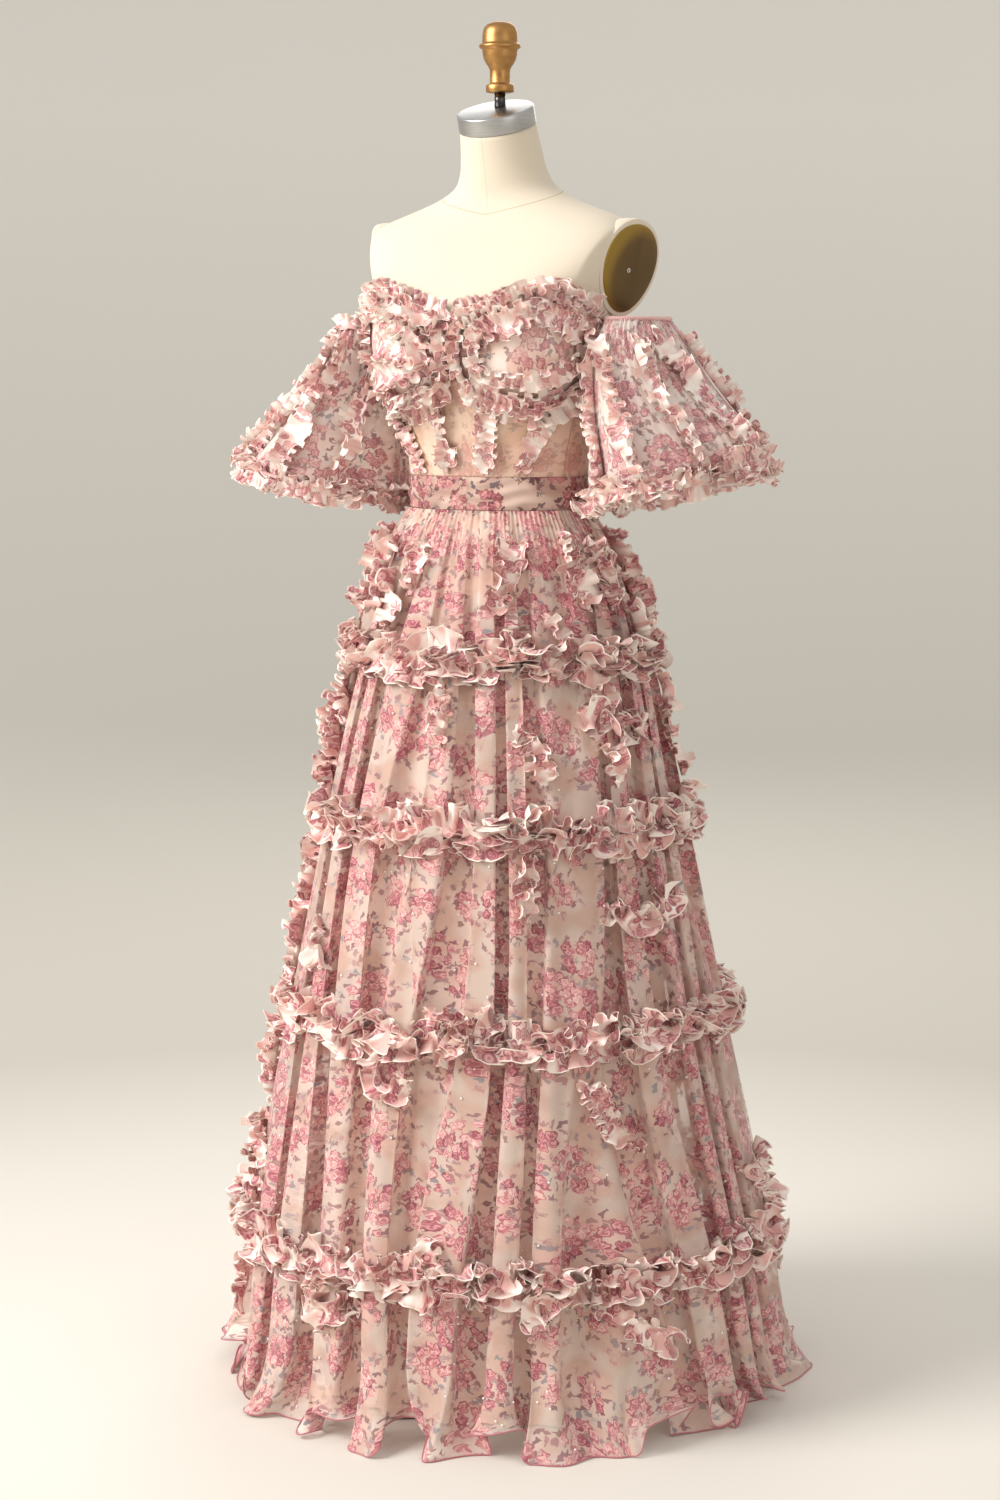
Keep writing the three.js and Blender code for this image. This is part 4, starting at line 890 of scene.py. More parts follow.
def hemShape(turns, z):
    # the last stretch flares, waves and curls on the floor
    s = hemSizes
    along = np.clip((s["reach"] - z) / s["reach"], 0, 1)
    points = skirtShape(turns, z, roll=1 - 0.5 * along)
    size = 0.8 + 0.4 * drift(turns, 21, 4, 8)
    wave = 2 * np.pi * (s["waves"] * turns + 0.7 * drift(turns, 22, 3, 7))
    angle = np.arctan2(points[..., 0], -points[..., 1])
    room = 1 + 0.8 * np.clip(np.cos(angle), 0, 1)
    reach = along ** 2 * (s["flare"] + s["wave"] * size * np.cos(wave)) * room
    swing = along ** 2 * s["swing"] * size * np.sin(2 * wave + 1.1)
    points[..., 0] += reach * np.sin(angle) + swing * np.cos(angle)
    points[..., 1] += -reach * np.cos(angle) + swing * np.sin(angle)
    ripple = 0.5 - 0.5 * np.cos(wave + 0.6 + 0.5 * np.sin(2.7 * wave))
    lift = along ** 3 * s["lift"] * size * ripple ** 1.5
    points[..., 2] = np.maximum(points[..., 2] * (1 - 0.06 * along) + lift, 1.0)
    return points


def makeSkirt(sizes):
    turns = (np.arange(sizes["columns"]) / sizes["columns"])[None, :]
    tops = [waist] + seams[:4]
    pieces = []
    for k in range(5):
        if k < 4:
            z = np.linspace(seams[k], tops[k], sizes["rows"])
        else:
            edge = np.linspace(0, hemSizes["reach"], hemSizes["rows"])
            z = np.concatenate([edge, np.linspace(hemSizes["reach"] + 8, tops[k], 12)])
        z = z[:, None] + 0 * turns
        points = (hemShape if k == 4 else skirtShape)(turns + 0 * z, z)
        flat = layFlat(points, True, (0.37 * k, 1.1 * k))
        grid = {"points": points, "flat": flat, "loop": True}
        tier = makePiece(f"skirt_tier_{k + 1}", [grid], tulle)
        settle(tier, "print", f"skirt_tier_{k + 1}_front", f"skirt_tier_{k + 1}_back")
        rests = "waistband" if k == 0 else f"skirt_tier_{k}"
        pieces.append((tier, grid, rests))
    return pieces


tiers = makeSkirt(skirtSizes)
print("skirt made")


def tube(points, radius, sides, loop=False):
    # a rolled edge along a line of points. The radius may vary along it.
    along = unit(np.roll(points, -1, 0) - np.roll(points, 1, 0) if loop
                 else np.gradient(points, axis=0))
    side = unit(np.cross(along, [0.0, 0.0, 1.0]))
    up = np.cross(side, along)
    reach = np.broadcast_to(radius, len(points))[:, None]
    turns = np.linspace(0, 2 * np.pi, sides, endpoint=False)
    rings = [points + reach * (math.cos(a) * up + math.sin(a) * side) for a in turns]
    rings.append(rings[0])
    grid = np.stack(rings, 0)
    return {"points": grid, "flat": layFlat(grid, loop), "loop": loop}


def makeHem(sizes):
    turns = np.arange(2000) / 2000
    points = hemShape(turns, 0 * turns)
    points[..., 2] = np.maximum(points[..., 2], 1.4)
    hem = makePiece("rolled_hem", [tube(points, sizes["rolled"], 5, True)], hemThread)
    settle(hem, "print")
    return hem


hem = makeHem(hemSizes)

slipSizes = {"folds": 17, "columns": 340, "rows": 46, "hem": 3, "top": 1135,
             "inset": 4, "drawnIn": 18, "drawnBelow": 1050, "drawnOver": 600}


def slipShape(turns, z):
    s = slipSizes
    phase = 2 * np.pi * (s["folds"] * turns + 0.5 * drift(turns, 31, 2, 5) + 0.1 * z / 400)
    depth = curve(slipRings, "fold", z) * (1.5 + 0.5 * drift(turns, 32, 3, 5))
    low = np.clip((s["drawnBelow"] - z) / s["drawnOver"], 0, 1)
    inset = s["inset"] + s["drawnIn"] * low  # the net stands off it
    return ringPoint(slipRings, 360 * turns, z, depth * (0.5 + 0.5 * np.cos(phase)) - inset)


def makeSlip(sizes):
    turns = (np.arange(sizes["columns"]) / sizes["columns"])[None, :]
    edge = sizes["hem"] + 1.5 * drift(turns, 33, 3, 7)
    z = edge + (sizes["top"] - edge) * np.linspace(0, 1, sizes["rows"])[:, None]
    points = slipShape(turns + 0 * z, z)
    grid = {"points": points, "flat": layFlat(points, True), "loop": True}
    slip = makePiece("slip", [grid], slipCloth)
    settle(slip, "slip", "slip_front", "slip_back")
    return slip, grid


slip, slipGrid = makeSlip(slipSizes)
print("slip and hem made")


# frills: strips sewn down their middle, both halves flaring off the cloth
def framesAlong(surface, u, v, step, du, dv, face=None):
    # resamples a line on a surface and gives its points with the ways out, along and across
    dense = np.linspace(0, 1, 1600)
    knots = np.linspace(0, 1, len(u))
    uu, vv = np.interp(dense, knots, u), np.interp(dense, knots, v)
    points = surface(uu, vv)
    run = np.concatenate([[0], np.cumsum(np.linalg.norm(np.diff(points, axis=0), axis=-1))])
    count = max(6, int(run[-1] / step))
    length = np.linspace(0, run[-1], count + 1)
    uu, vv = np.interp(length, run, uu), np.interp(length, run, vv)
    points = surface(uu, vv)
    face = face or surface
    out = np.cross(face(uu + du, vv) - face(uu - du, vv), face(uu, vv + dv) - face(uu, vv - dv))
    out = unit(out)
    along = unit(np.gradient(points, axis=0))
    across = unit(np.cross(out, along))
    out = np.cross(along, across)
    return {"points": points, "out": out, "along": along, "across": across, "length": length}


frillCut = 0.02  # every frill's cut runs this far from its middle in the UV map
frills = []
sheets = []


def ruffle(line, sizes, seed):
    # sizes: half width, ripple depth and spacing, flare in degrees, lift off the cloth. The
    # edges are longer than the seam, so they wave, and lean over along the strip.
    length = line["length"]
    shares = np.array([0.26, 0.5, 0.7, 0.86, 1.0])  # of the half width, row by row
    halves = []
    ends = np.clip(np.minimum(length, length[-1] - length) / 12, 0.3, 1)
    ends = ends if sizes.get("taper", True) else 1 + 0 * length
    for side in (-1, 1):
        s = seed * 11 + 3 * side
        spacing = sizes["ripple"] * (1 + 0.42 * wander(length, 1.7 * sizes["ripple"], s + 1))
        phase = np.cumsum(np.gradient(length) * 2 * np.pi / spacing) + s
        rippled = np.sin(phase) + 0.2 * np.sin(1.7 * phase + s)
        flare = sizes["flare"] + sizes["flareVary"] * wander(length, sizes["clump"], s + 2)
        flare = np.radians(np.clip(flare, 4, 150))
        deep = sizes["deep"] * (0.85 + 0.5 * wander(length, sizes["ripple"], s + 3)) * ends
        wide = sizes["half"] * (1 + 0.36 * wander(length, sizes["clump"], s + 4)) * ends
        wide = wide * (1 + 0.08 * np.sin(phase + 1))
        rows = []
        for share in shares:
            grow = share ** 1.25
            turn = flare * (0.55 + 0.6 * share)
            lay, away = side * np.cos(turn), np.sin(turn)
            reach = (wide * share)[:, None]
            shift = (lay[:, None] * line["across"] + away[:, None] * line["out"]) * reach
            square = -side * away[:, None] * line["across"] + lay[:, None] * side * line["out"]
            shift += square * (deep * grow * rippled)[:, None]
            curl = 0.17 * spacing * grow * np.sin(2 * phase)
            shift -= line["along"] * curl[:, None]
            height = np.sum(shift * line["out"], -1)
            raised = np.maximum(height, 0.25 + 0.2 * share)
            rows.append(line["points"] + line["out"] * sizes["lift"]
                        + shift + line["out"] * (raised - height)[:, None])
        halves.append(rows)
    middle = line["points"] + line["out"] * sizes["lift"]
    points = np.stack(halves[0][::-1] + [middle] + halves[1], 0)
    steps = np.linalg.norm(np.diff(points, axis=1), axis=-1).mean(0) * 0.001
    u = np.concatenate([[0], np.cumsum(steps)])
    v = np.concatenate([-shares[::-1], [0], shares]) * frillCut
    flat = np.stack(np.broadcast_arrays((u + 0.173 * seed)[None, :], v[:, None]), -1)
    return {"points": points, "flat": flat, "size": (u[-1], 0.002 * sizes["half"])}


frillSizes = {
    "tier": {"half": 26, "deep": 9.5, "ripple": 19, "flare": 40, "flareVary": 44, "clump": 30,
             "lift": 2, "step": 1.9},
    "slant": {"half": 22, "deep": 8, "ripple": 16, "flare": 40, "flareVary": 40, "clump": 27,
              "lift": 2, "step": 1.8},
    "bone": {"half": 16, "deep": 5.6, "ripple": 13.5, "flare": 34, "flareVary": 30, "clump": 26,
             "lift": 1.0, "step": 1.2},
    "cup": {"half": 20, "deep": 6.6, "ripple": 16, "flare": 36, "flareVary": 32, "clump": 28,
            "lift": 1.2, "step": 1.2},
    "sleeve": {"half": 18, "deep": 6, "ripple": 17, "flare": 36, "flareVary": 48, "clump": 34,
               "lift": 1.0, "step": 1.5},
}


def seamLine(angle, z):
    # the skirt as a frill meets it, following the folds half way in
    return skirtShape(angle / 360, z, share=0.5, roll=0.3)


def softFace(angle, z):
    # the same without its folds, for which way is out
    return ringPoint(skirtRings, angle, z, 0)


def finishFrill(name, grids, nodes, rests, cloth=frillTulle):
    piece = makePiece(name, grids, cloth)
    settle(piece, "frill", *nodes)
    frills.append((piece, grids, rests))


def makeTierFrills(sizes):
    for k in range(4):
        angle = np.linspace(-180, 180, 480)
        grids = []
        for layer, (drop, size) in enumerate(((9, 1.0), (-7, 0.85))):
            z = seams[k] + drop + 6 * drift(angle / 360, 40 + 5 * k + layer, 3, 11)
            z = z + 5 * drift(angle / 360, 43 + 5 * k + layer, 15, 13)
            line = framesAlong(seamLine, angle, z, sizes["step"], 0.4, 2, softFace)
            row = dict(sizes, taper=False, half=sizes["half"] * size)
            grids.append(ruffle(line, row, 50 + 2 * k + layer))
        finishFrill(f"tier_frill_{k + 1}", grids, [f"tier_frill_{k + 1}"], [f"skirt_tier_{k + 2}"])


slantLines = [  # angle and height of each end, and of the point between them
    {"angle": (-66, -62, -60), "z": (1112, 1060, 1000)},
    {"angle": (-44, -42, -38), "z": (1102, 1050, 1004)},
    {"angle": (-84, -88, -86), "z": (1106, 1052, 998)},
    {"angle": (-24, -20, -21), "z": (1096, 1066, 1030)},
    {"angle": (54, 57, 63), "z": (1108, 1062, 1012)},
    {"angle": (84, 90, 92), "z": (1030, 1000, 970)},
    {"angle": (104, 108, 112), "z": (1110, 1060, 1002)},
    {"angle": (-68, -64, -62), "z": (820, 790, 762)},
    {"angle": (-74, -68, -66), "z": (708, 660, 610)},
    {"angle": (-58, -62, -60), "z": (470, 430, 388)},
    {"angle": (-70, -66, -62), "z": (250, 226, 214)},
    {"angle": (-66, -60, -52), "z": (150, 110, 84)},
    {"angle": (2, 6, 4), "z": (925, 890, 850)},
    {"angle": (30, 36, 38), "z": (880, 840, 800)},
    {"angle": (34, 30, 33), "z": (716, 688, 640)},
    {"angle": (-10, -4, 2), "z": (470, 440, 425)},
    {"angle": (36, 32, 34), "z": (196, 170, 140)},
    {"angle": (20, 25, 30), "z": (1008, 1055, 1100)},
    {"angle": (62, 76, 92), "z": (1092, 1070, 1052)},
    {"angle": (52, 68, 83), "z": (892, 868, 862)},
    {"angle": (54, 66, 82), "z": (657, 622, 658)},
    {"angle": (44, 52, 60), "z": (450, 400, 350)},
    {"angle": (6, 16, 26), "z": (532, 498, 522)},
    {"angle": (-62, -55, -50), "z": (905, 880, 858)},
    {"angle": (95, 104, 112), "z": (292, 284, 300)},
    {"angle": (9, 12, 16), "z": (262, 232, 205)},
    {"angle": (44, 52, 64), "z": (190, 150, 120)},
    {"angle": (-40, -36, -30), "z": (620, 590, 565)},
    {"angle": (-72, -66, -58), "z": (560, 545, 515)},
    {"angle": (-20, -14, -4), "z": (180, 150, 158)},
    {"angle": (-62, -50, -44), "z": (330, 300, 262)},
    {"angle": (40, 46, 50), "z": (1010, 985, 968)},
    {"angle": (110, 122, 131), "z": (880, 848, 860)},
    {"angle": (150, 161, 170), "z": (640, 606, 622)},
    {"angle": (186, 196, 208), "z": (1020, 1052, 1066)},
    {"angle": (200, 212, 226), "z": (430, 372, 388)},
    {"angle": (232, 243, 250), "z": (660, 618, 640)},
    {"angle": (162, 172, 184), "z": (372, 330, 350)},
    {"angle": (128, 136, 148), "z": (130, 96, 104)},
    {"angle": (236, 246, 256), "z": (140, 104, 92)},
    {"angle": (262, 270, 280), "z": (860, 838, 852)},
    {"angle": (-58, -64, -60), "z": (938, 880, 800)},
    {"angle": (-70, -66, -71), "z": (900, 850, 770)},
    {"angle": (-58, -61, -57), "z": (720, 640, 560)},
    {"angle": (-65, -69, -66), "z": (480, 400, 300)},
    {"angle": (-57, -60, -56), "z": (350, 290, 230)},
    {"angle": (-72, -68, -70), "z": (640, 580, 510)},
    {"angle": (116, 112, 115), "z": (930, 870, 790)},
    {"angle": (118, 114, 117), "z": (1040, 1010, 975)},
    {"angle": (70, 74, 78), "z": (1100, 1060, 1010)},
    {"angle": (64, 60, 66), "z": (930, 880, 800)},
    {"angle": (-34, -30, -32), "z": (1060, 1020, 985)},
]


def makeSlantFrills(sizes):
    grids = []
    for k, row in enumerate(slantLines):
        angle, z = spaced(row["angle"], 30), spaced(row["z"], 30)
        line = framesAlong(seamLine, angle, z, sizes["step"], 0.4, 2, softFace)
        grids.append(ruffle(line, sizes, 80 + k))
    nodes = ["slant_frill_hip", "slant_frill_upper", "slant_frill_middle", "slant_frill_low"]
    finishFrill("slant_frills", grids, nodes, [f"skirt_tier_{k}" for k in range(1, 6)])


makeTierFrills(frillSizes["tier"])
makeSlantFrills(frillSizes["slant"])
print("skirt frills made")


# bodice
panelTable = {
    "centre_front": {"top": (-14, 14), "waist": (-12, 12)},
    "side_front_left": {"top": (14, 62), "waist": (12, 31)},
    "side_front_right": {"top": (-62, -14), "waist": (-31, -12)},
    "side_left": {"top": (62, 73.4), "waist": (31, 67)},
    "side_right": {"top": (-73.4, -62), "waist": (-67, -31)},
    "back_left": {"top": (78, 180), "waist": (67, 180)},
    "back_right": {"top": (-180, -78), "waist": (-180, -67)},
}
seamEase = 0.1  # degrees left open at each side of a seam


def makePanels():
    for name, row in panelTable.items():
        wide = row["top"][1] - row["top"][0]
        columns = max(16, int(wide / 1.5))
        s = np.linspace(0, 1, columns)[None, :]
        t = np.linspace(0, 1, 34)[:, None]
        low = row["waist"][0] + seamEase + s * (row["waist"][1] - row["waist"][0] - 2 * seamEase)
        high = row["top"][0] + seamEase + s * (wide - 2 * seamEase)
        angle = low + (high - low) * t
        top = topEdge(high) if name.startswith("back") else underCup(high)
        z = bodice["bottom"] + (top - bodice["bottom"]) * t
        pull = 0.35 * np.sin(z / 9 + 3 * np.sin(angle / 6)) * np.sin(np.pi * t)
        points = ringPoint(formRings, angle, z, bodice["off"] - 0.4 + pull)
        grid = {"points": points, "flat": layFlat(points, offset=(0.02 * len(name), 0.3))}
        panel = makePiece(f"bodice_{name}", [grid], bodiceNet)
        thicken(panel, 0.7)
        settle(panel, "sheer", f"bodice_{name}")
        sheets.append((panel, [grid], "stretched", ["canvas_form"]))


def makeCups():
    for name, side in (("left", 1), ("right", -1)):
        s = np.linspace(0, 1, 110)[None, :]
        t = np.linspace(0, 1, 60)[:, None]
        size = s * (cup["side"] + (cup["sideTop"] - cup["side"]) * t)
        angle = np.maximum(size, seamEase)
        z = underCup(size) + (topEdge(size) - underCup(size)) * t
        gathers = np.sin(1.9 * size + 2.5 * drift(s, 61, 2, 5) + 1.5 * t)
        gathers = gathers * (0.55 + 0.45 * np.sin(0.71 * size + 3 * t)) * np.sin(np.pi * s) ** 0.4
        gathers = 0.6 * gathers * (0.4 + 0.6 * np.abs(2 * t - 1))
        points = bodicePoint(angle, z, -0.4 + gathers)
        points[..., 0] *= side
        flat = layFlat(points, offset=(0.4 + 0.31 * side, 0.2))
        grid = {"points": points, "flat": flat, "flip": side < 0}
        piece = makePiece(f"cup_{name}", [grid], cupTulle)
        thicken(piece, 0.9)
        settle(piece, "print", f"cup_{name}")
        sheets.append((piece, [grid], "gathered", ["canvas_form"]))


bandSizes = {"folds": 2.4, "foldDepth": 1.3, "rows": 40, "columns": 260, "off": 2.6,
             "swell": 2.2, "wall": 0.9}


def makeBand(sizes):
    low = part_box("waistband_front")[0][2] * 1000 - 0.5
    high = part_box("waistband_front")[1][2] * 1000 + 0.3
    turns = (np.arange(sizes["columns"]) / sizes["columns"])[None, :]
    t = np.linspace(0, 1, sizes["rows"])[:, None]
    z = low + (high - low) * t + 0 * turns
    lean = 0.13 * drift(turns, 71, 2, 5)
    folds = np.sin(2 * np.pi * (sizes["folds"] * (t + lean)) + 1.5 * drift(turns, 72, 3, 5))
    swell = np.sin(np.pi * t) ** 0.35
    push = sizes["off"] + sizes["swell"] * swell + sizes["foldDepth"] * folds * swell
    points = ringPoint(formRings, 360 * turns, z, push)
    grid = {"points": points, "flat": layFlat(points, True, (0.11, 0.77)), "loop": True}
    band = makePiece("waistband", [grid], bandTulle)
    thicken(band, sizes["wall"])
    settle(band, "print", "waistband_front", "waistband_back_left", "waistband_back_right")
    sheets.append((band, [grid], "stretched", ["canvas_form"]))


boneLines = [
    {"name": "inner", "angle": (12.3, 13.8), "z": (1182, 1270)},
    {"name": "outer", "angle": (31.5, 59), "z": (1182, 1266)},
    {"name": "back", "angle": (146, 138), "z": (1182, 1354)},
]
cupLines = [  # angle, share of the cup's height and offset in height, from end to end
    {"node": "cup_frill_under", "angle": (3, 20, 38, 56, 73), "up": (0, 0, 0, 0, 0.03), "off": 3},
    {"node": "cup_frill_under", "angle": (8, 22, 38, 54, 68), "up": (0.14, 0.1, 0.1, 0.1, 0.16)},
    {"node": "cup_frill_over", "angle": (12, 24, 38, 52, 64), "up": (0.36, 0.3, 0.27, 0.3, 0.42)},
    {"node": "cup_frill_over", "angle": (10, 22, 38, 54, 66), "up": (0.56, 0.72, 0.79, 0.74, 0.6)},
    {"node": "cup_frill_over", "angle": (17, 14, 13, 14, 17), "up": (0.2, 0.34, 0.5, 0.66, 0.8)},
    {"node": "cup_frill_over", "angle": (16, 22, 28, 34, 41), "up": (0.42, 0.46, 0.52, 0.56, 0.54),
     "only": "right"},
    {"node": "cup_frill_over", "angle": (6, 5, 4.5, 5, 6), "up": (0.05, 0.25, 0.5, 0.7, 0.9)},
    {"node": "cup_frill_over", "angle": (64, 67, 68, 67, 64), "up": (0.2, 0.38, 0.55, 0.72, 0.86)},
    {"node": "cup_frill_over", "angle": (74, 75, 76, 76, 76), "up": (0.1, 0.3, 0.5, 0.7, 0.9)},
    {"node": "neckline_frill", "angle": (0.5, 20, 38, 56, 76), "up": (1, 1, 1, 1, 1), "off": -4},
    {"node": "neckline_frill", "angle": (3, 20, 38, 56, 74), "up": (0.84, 0.88, 0.89, 0.88, 0.85)},
]


def makeBodiceFrills(boneSizes, cupSizes):
    for name, side in (("left", 1), ("right", -1)):
        for k, row in enumerate(boneLines):
            angle = side * np.array(row["angle"], float)
            line = framesAlong(bodicePoint, angle, np.array(row["z"], float),
                               boneSizes["step"], 0.6, 1.5)
            grids = [ruffle(line, boneSizes, 120 + 10 * k + side)]
            node = f"bone_frill_{row['name']}_{name}"
            panel = "bodice_back" if row["name"] == "back" else "bodice_side_front"
            finishFrill(node, grids, [node], [f"{panel}_{name}"], paleFrillTulle)
        for node in ("cup_frill_under", "cup_frill_over", "neckline_frill"):
            grids = []
            for k, row in enumerate(cupLines):
                if row["node"] != node or row.get("only", name) != name:
                    continue
                size, up = spaced(row["angle"], 60), spaced(row["up"], 60)
                low, high = underCup(size), topEdge(size)
                z = low + (high - low) * up + row.get("off", 0)
                line = framesAlong(bodicePoint, side * size, z, cupSizes["step"], 0.6, 1.5)
                grids.append(ruffle(line, cupSizes, 160 + 10 * k + side))
            finishFrill(f"{node}_{name}", grids, [f"{node}_{name}"], [f"cup_{name}"],
                        paleFrillTulle)


makePanels()
makeCups()
makeBand(bandSizes)
makeBodiceFrills(frillSizes["bone"], frillSizes["cup"])
print("bodice made")


# sleeves
sleeveRings = {  # down from the elastic at the top to the mouth
    "down": [0, 1, 2, 3, 4, 5, 6],
    "x": [189, 194, 205, 221, 238, 245, 245],
    "y": [6, 2, -2, -5, -5, -4, -2],
    "z": [1373, 1350, 1305, 1255, 1208, 1170, 1146],
    "half": [33, 43, 58, 76, 94, 103, 103],
    "depth": [66, 83, 99, 111, 119, 120, 114],
    "lift": [0, 3, 8, 13, 17, 19, 20],
    "puff": [0, 3, 5, 6, 7, 7, 8],
}
sleeveSizes = {
    "lobes": 5, "gathers": 24, "columns": 420, "rows": 46, "offBody": 3, "tuck": 26,
    "hangOut": 14, "mouthRise": 34,  # the mouth rises toward the body and hangs out from it
    "sunk": {"left": 0.1, "right": 1.0}, "slump": {"x": 14, "half": 12, "depth": 16},
    "shoulder": {"left": False, "right": True},
}
sleeveFrillLines = [
    {"node": "front", "turn": (-8, 2, 4), "down": (0.14, 0.5, 0.86)},
    {"node": "outer", "turn": (60, 74, 78), "down": (0.1, 0.5, 0.88)},
    {"node": "front", "turn": (-52, -40, -32), "down": (0.2, 0.55, 0.9)},
    {"node": "outer", "turn": (28, 38, 46), "down": (0.16, 0.5, 0.9)},
    {"node": "outer", "turn": (118, 130, 138), "down": (0.14, 0.5, 0.86)},
    {"node": "outer", "turn": (176, 186, 192), "down": (0.16, 0.5, 0.86)},
]


def keptOff(points, off):
    # moves points out of the dress form, to stand off its bodice
    z = np.clip(points[..., 2], 790, 1600)
    y0 = curve(formRings, "y", z)
    wide = curve(formRings, "half", z) + bodice["off"] + off
    front = points[..., 1] < y0
    depth = np.where(front, curve(formRings, "front", z), curve(formRings, "back", z))
    depth = depth + bodice["off"] + off
    reach = np.hypot(points[..., 0] / wide, (points[..., 1] - y0) / depth)
    grow = np.maximum(1 / np.maximum(reach, 1e-3), 1)
    kept = points.copy()
    kept[..., 0] = points[..., 0] * grow
    kept[..., 1] = y0 + (points[..., 1] - y0) * grow
    return kept


def sleevePoint(turn, down, out=0.0, gathered=0.0, sunk=0.0):
    # sunk is how much the sleeve has slumped toward the body, half way down
    place = np.clip(down, 0, 1) * 6
    at = {name: curve(sleeveRings, name, place, "down") for name in sleeveRings if name != "down"}
    slump = sunk * np.sin(np.pi * np.clip(down / 0.85, 0, 1))
    for name, share in sleeveSizes["slump"].items():
        at[name] = at[name] - share * slump
    turns = turn / 360
    lobes = np.radians(sleeveSizes["lobes"] * turn) + 0.9 * drift(turns, 93, 2, 4)
    lobes = at["puff"] * np.cos(lobes)
    phase = 2 * np.pi * (sleeveSizes["gathers"] * turns + 1.5 * drift(turns, 91, 3, 8))
    phase = phase + 1.2 * np.sin(5 * down + 20 * turns)
    deep = 2.6 - 1.9 * np.sin(np.pi * np.clip(down, 0, 1)) ** 0.7
    push = lobes + out + gathered * deep * np.cos(phase) * (0.8 + 0.4 * drift(turns, 92, 4, 6))
    s, c = np.sin(np.radians(turn)), np.cos(np.radians(turn))
    x = (at["half"] + push) * s
    y = -(at["depth"] + push) * c
    lift = np.radians(at["lift"])
    low = np.clip(down, 0, 1) ** 2
    x = x + sleeveSizes["hangOut"] * low * (0.5 + 0.5 * s)
    rise = sleeveSizes["mouthRise"] * low * (0.5 - 0.5 * s)
    points = np.stack([x * np.cos(lift) + at["x"], y + at["y"],
                       x * np.sin(lift) + at["z"] + rise], -1)
    return keptOff(points, sleeveSizes["offBody"] - out)


def makeSleeves(sizes):
    for name, side in (("left", 1), ("right", -1)):
        sunk = sizes["sunk"][name]
        turn = (np.arange(sizes["columns"]) * 360 / sizes["columns"])[None, :]
        down = np.linspace(1, 0, sizes["rows"])[:, None] + 0 * turn
        points = sleevePoint(turn + 0 * down, down, 0.0, 1.0, sunk)
        rolled = []  # the mouth turns under and in
        for k in range(1, 6):
            ease = k / 5
            inner = sleevePoint(turn, 1.0 + 0 * turn, -sizes["tuck"] * ease ** 1.2, 1.0, sunk)
            inner[..., 2] -= 7 * math.sin(math.pi * ease)
            rolled.append(inner)
        points = np.concatenate(rolled[::-1] + [points])
        points[..., 0] *= side
        flat = layFlat(points, True, (0.5 + 0.3 * side, 0.9))
        grid = {"points": points, "flat": flat, "loop": True, "flip": side < 0}
        sleeve = makePiece(f"sleeve_{name}", [grid], sleeveTulle)
        settle(sleeve, "print", f"sleeve_{name}")
        sheets.append((sleeve, [grid], "gathered", [f"bodice_side_{name}"]))
        makeSleeveFrills(name, side, sizes, frillSizes["sleeve"])


def makeSleeveFrills(name, side, sizes, frill):
    # lines down the sleeve, one over the right sleeve's shoulder and two round its mouth
    def face(turn, down):
        return sleevePoint(turn, down, 1.0, 0.0, sizes["sunk"][name]) * [side, 1, 1]

    def strip(turns, downs, row, seed):
        return ruffle(framesAlong(face, turns, downs, frill["step"], 1.5 * side, -0.02), row, seed)

    groups = {"front": [], "outer": []}
    for k, row in enumerate(sleeveFrillLines):
        turns, downs = spaced(row["turn"], 40), spaced(row["down"], 40)
        groups[row["node"]].append(strip(turns, downs, frill, 220 + 10 * k + side))
    if sizes["shoulder"][name]:
        turns = np.linspace(-75, 65, 80)
        downs = 0.05 + 0.02 * drift(turns / 360, 96, 3, 5)
        groups["outer"].append(strip(turns, downs, dict(frill, half=12), 340))
    turns = np.linspace(0, 360, 200)
    for level in (0.99, 0.9):
        downs = level + 0.02 * drift(turns / 360, 95, 3, 5)
        seed = 300 + side + int(100 * level)
        groups["outer"].append(strip(turns, downs, dict(frill, taper=False), seed))
    for node, grids in groups.items():
        full = f"sleeve_frill_{node}_{name}"
        finishFrill(full, grids, [full], [f"sleeve_{name}"], paleFrillTulle)


makeSleeves(sleeveSizes)
print("sleeves made")


# edge casings, zip and pearls
casingSizes = {"sleeve": 2.6, "sleevePucker": 0.5, "puckerTurn": 4.4, "back": 1.7,
               "backPucker": 0.25}


def makeCasings(sizes):
    # puckered elastic along the sleeves' tops and the bodice's back edge
    grids = []
    for side in (1, -1):
        turn = np.linspace(0, 360, 520)[:-1]
        points = sleevePoint(turn, 0 * turn) * [side, 1, 1]
        points[..., 2] += 1
        pucker = np.sin(2 * np.pi * turn / sizes["puckerTurn"])
        grid = tube(points, sizes["sleeve"] + sizes["sleevePucker"] * pucker, 7, True)
        grid["flip"] = side < 0
        grids.append(grid)
    for side in (1, -1):
        angle = side * np.linspace(77, 179.6, 300)
        points = bodicePoint(angle, topEdge(angle), 0.4)
        pucker = np.sin(np.arange(300) * 1.9)
        grids.append(tube(points, sizes["back"] + sizes["backPucker"] * pucker, 7))
    settle(makePiece("edge_casing", grids, elastic), "print")


zipSizes = {
    "low": 1179, "high": 1350, "back": 95,
    "lip": [(0.25, -0.6), (0.3, 0.5), (1.2, 1.0), (2.6, 0.8), (4.0, -0.2)],  # across and out
}


def makeZipSeam(sizes):
    # the two soft lips of a concealed zip, down the centre back
    grids = []
    z = np.linspace(sizes["low"], sizes["high"], 60)
    for side in (1, -1):
        rows = []
        for across, stand in sizes["lip"]:
            angle = 180 - side * np.degrees(across / sizes["back"])
            rows.append(ringPoint(formRings, angle, z, bodice["off"] + stand))
        points = np.stack(rows, 0)
        grids.append({"points": points, "flat": layFlat(points), "flip": side > 0})
    settle(makePiece("zip_seam", grids, bodiceNet), "sheer")


pearlSizes = {"radius": 0.0015, "lift": 0.0012, "perSquareMetre": 170.0, "seed": 5}


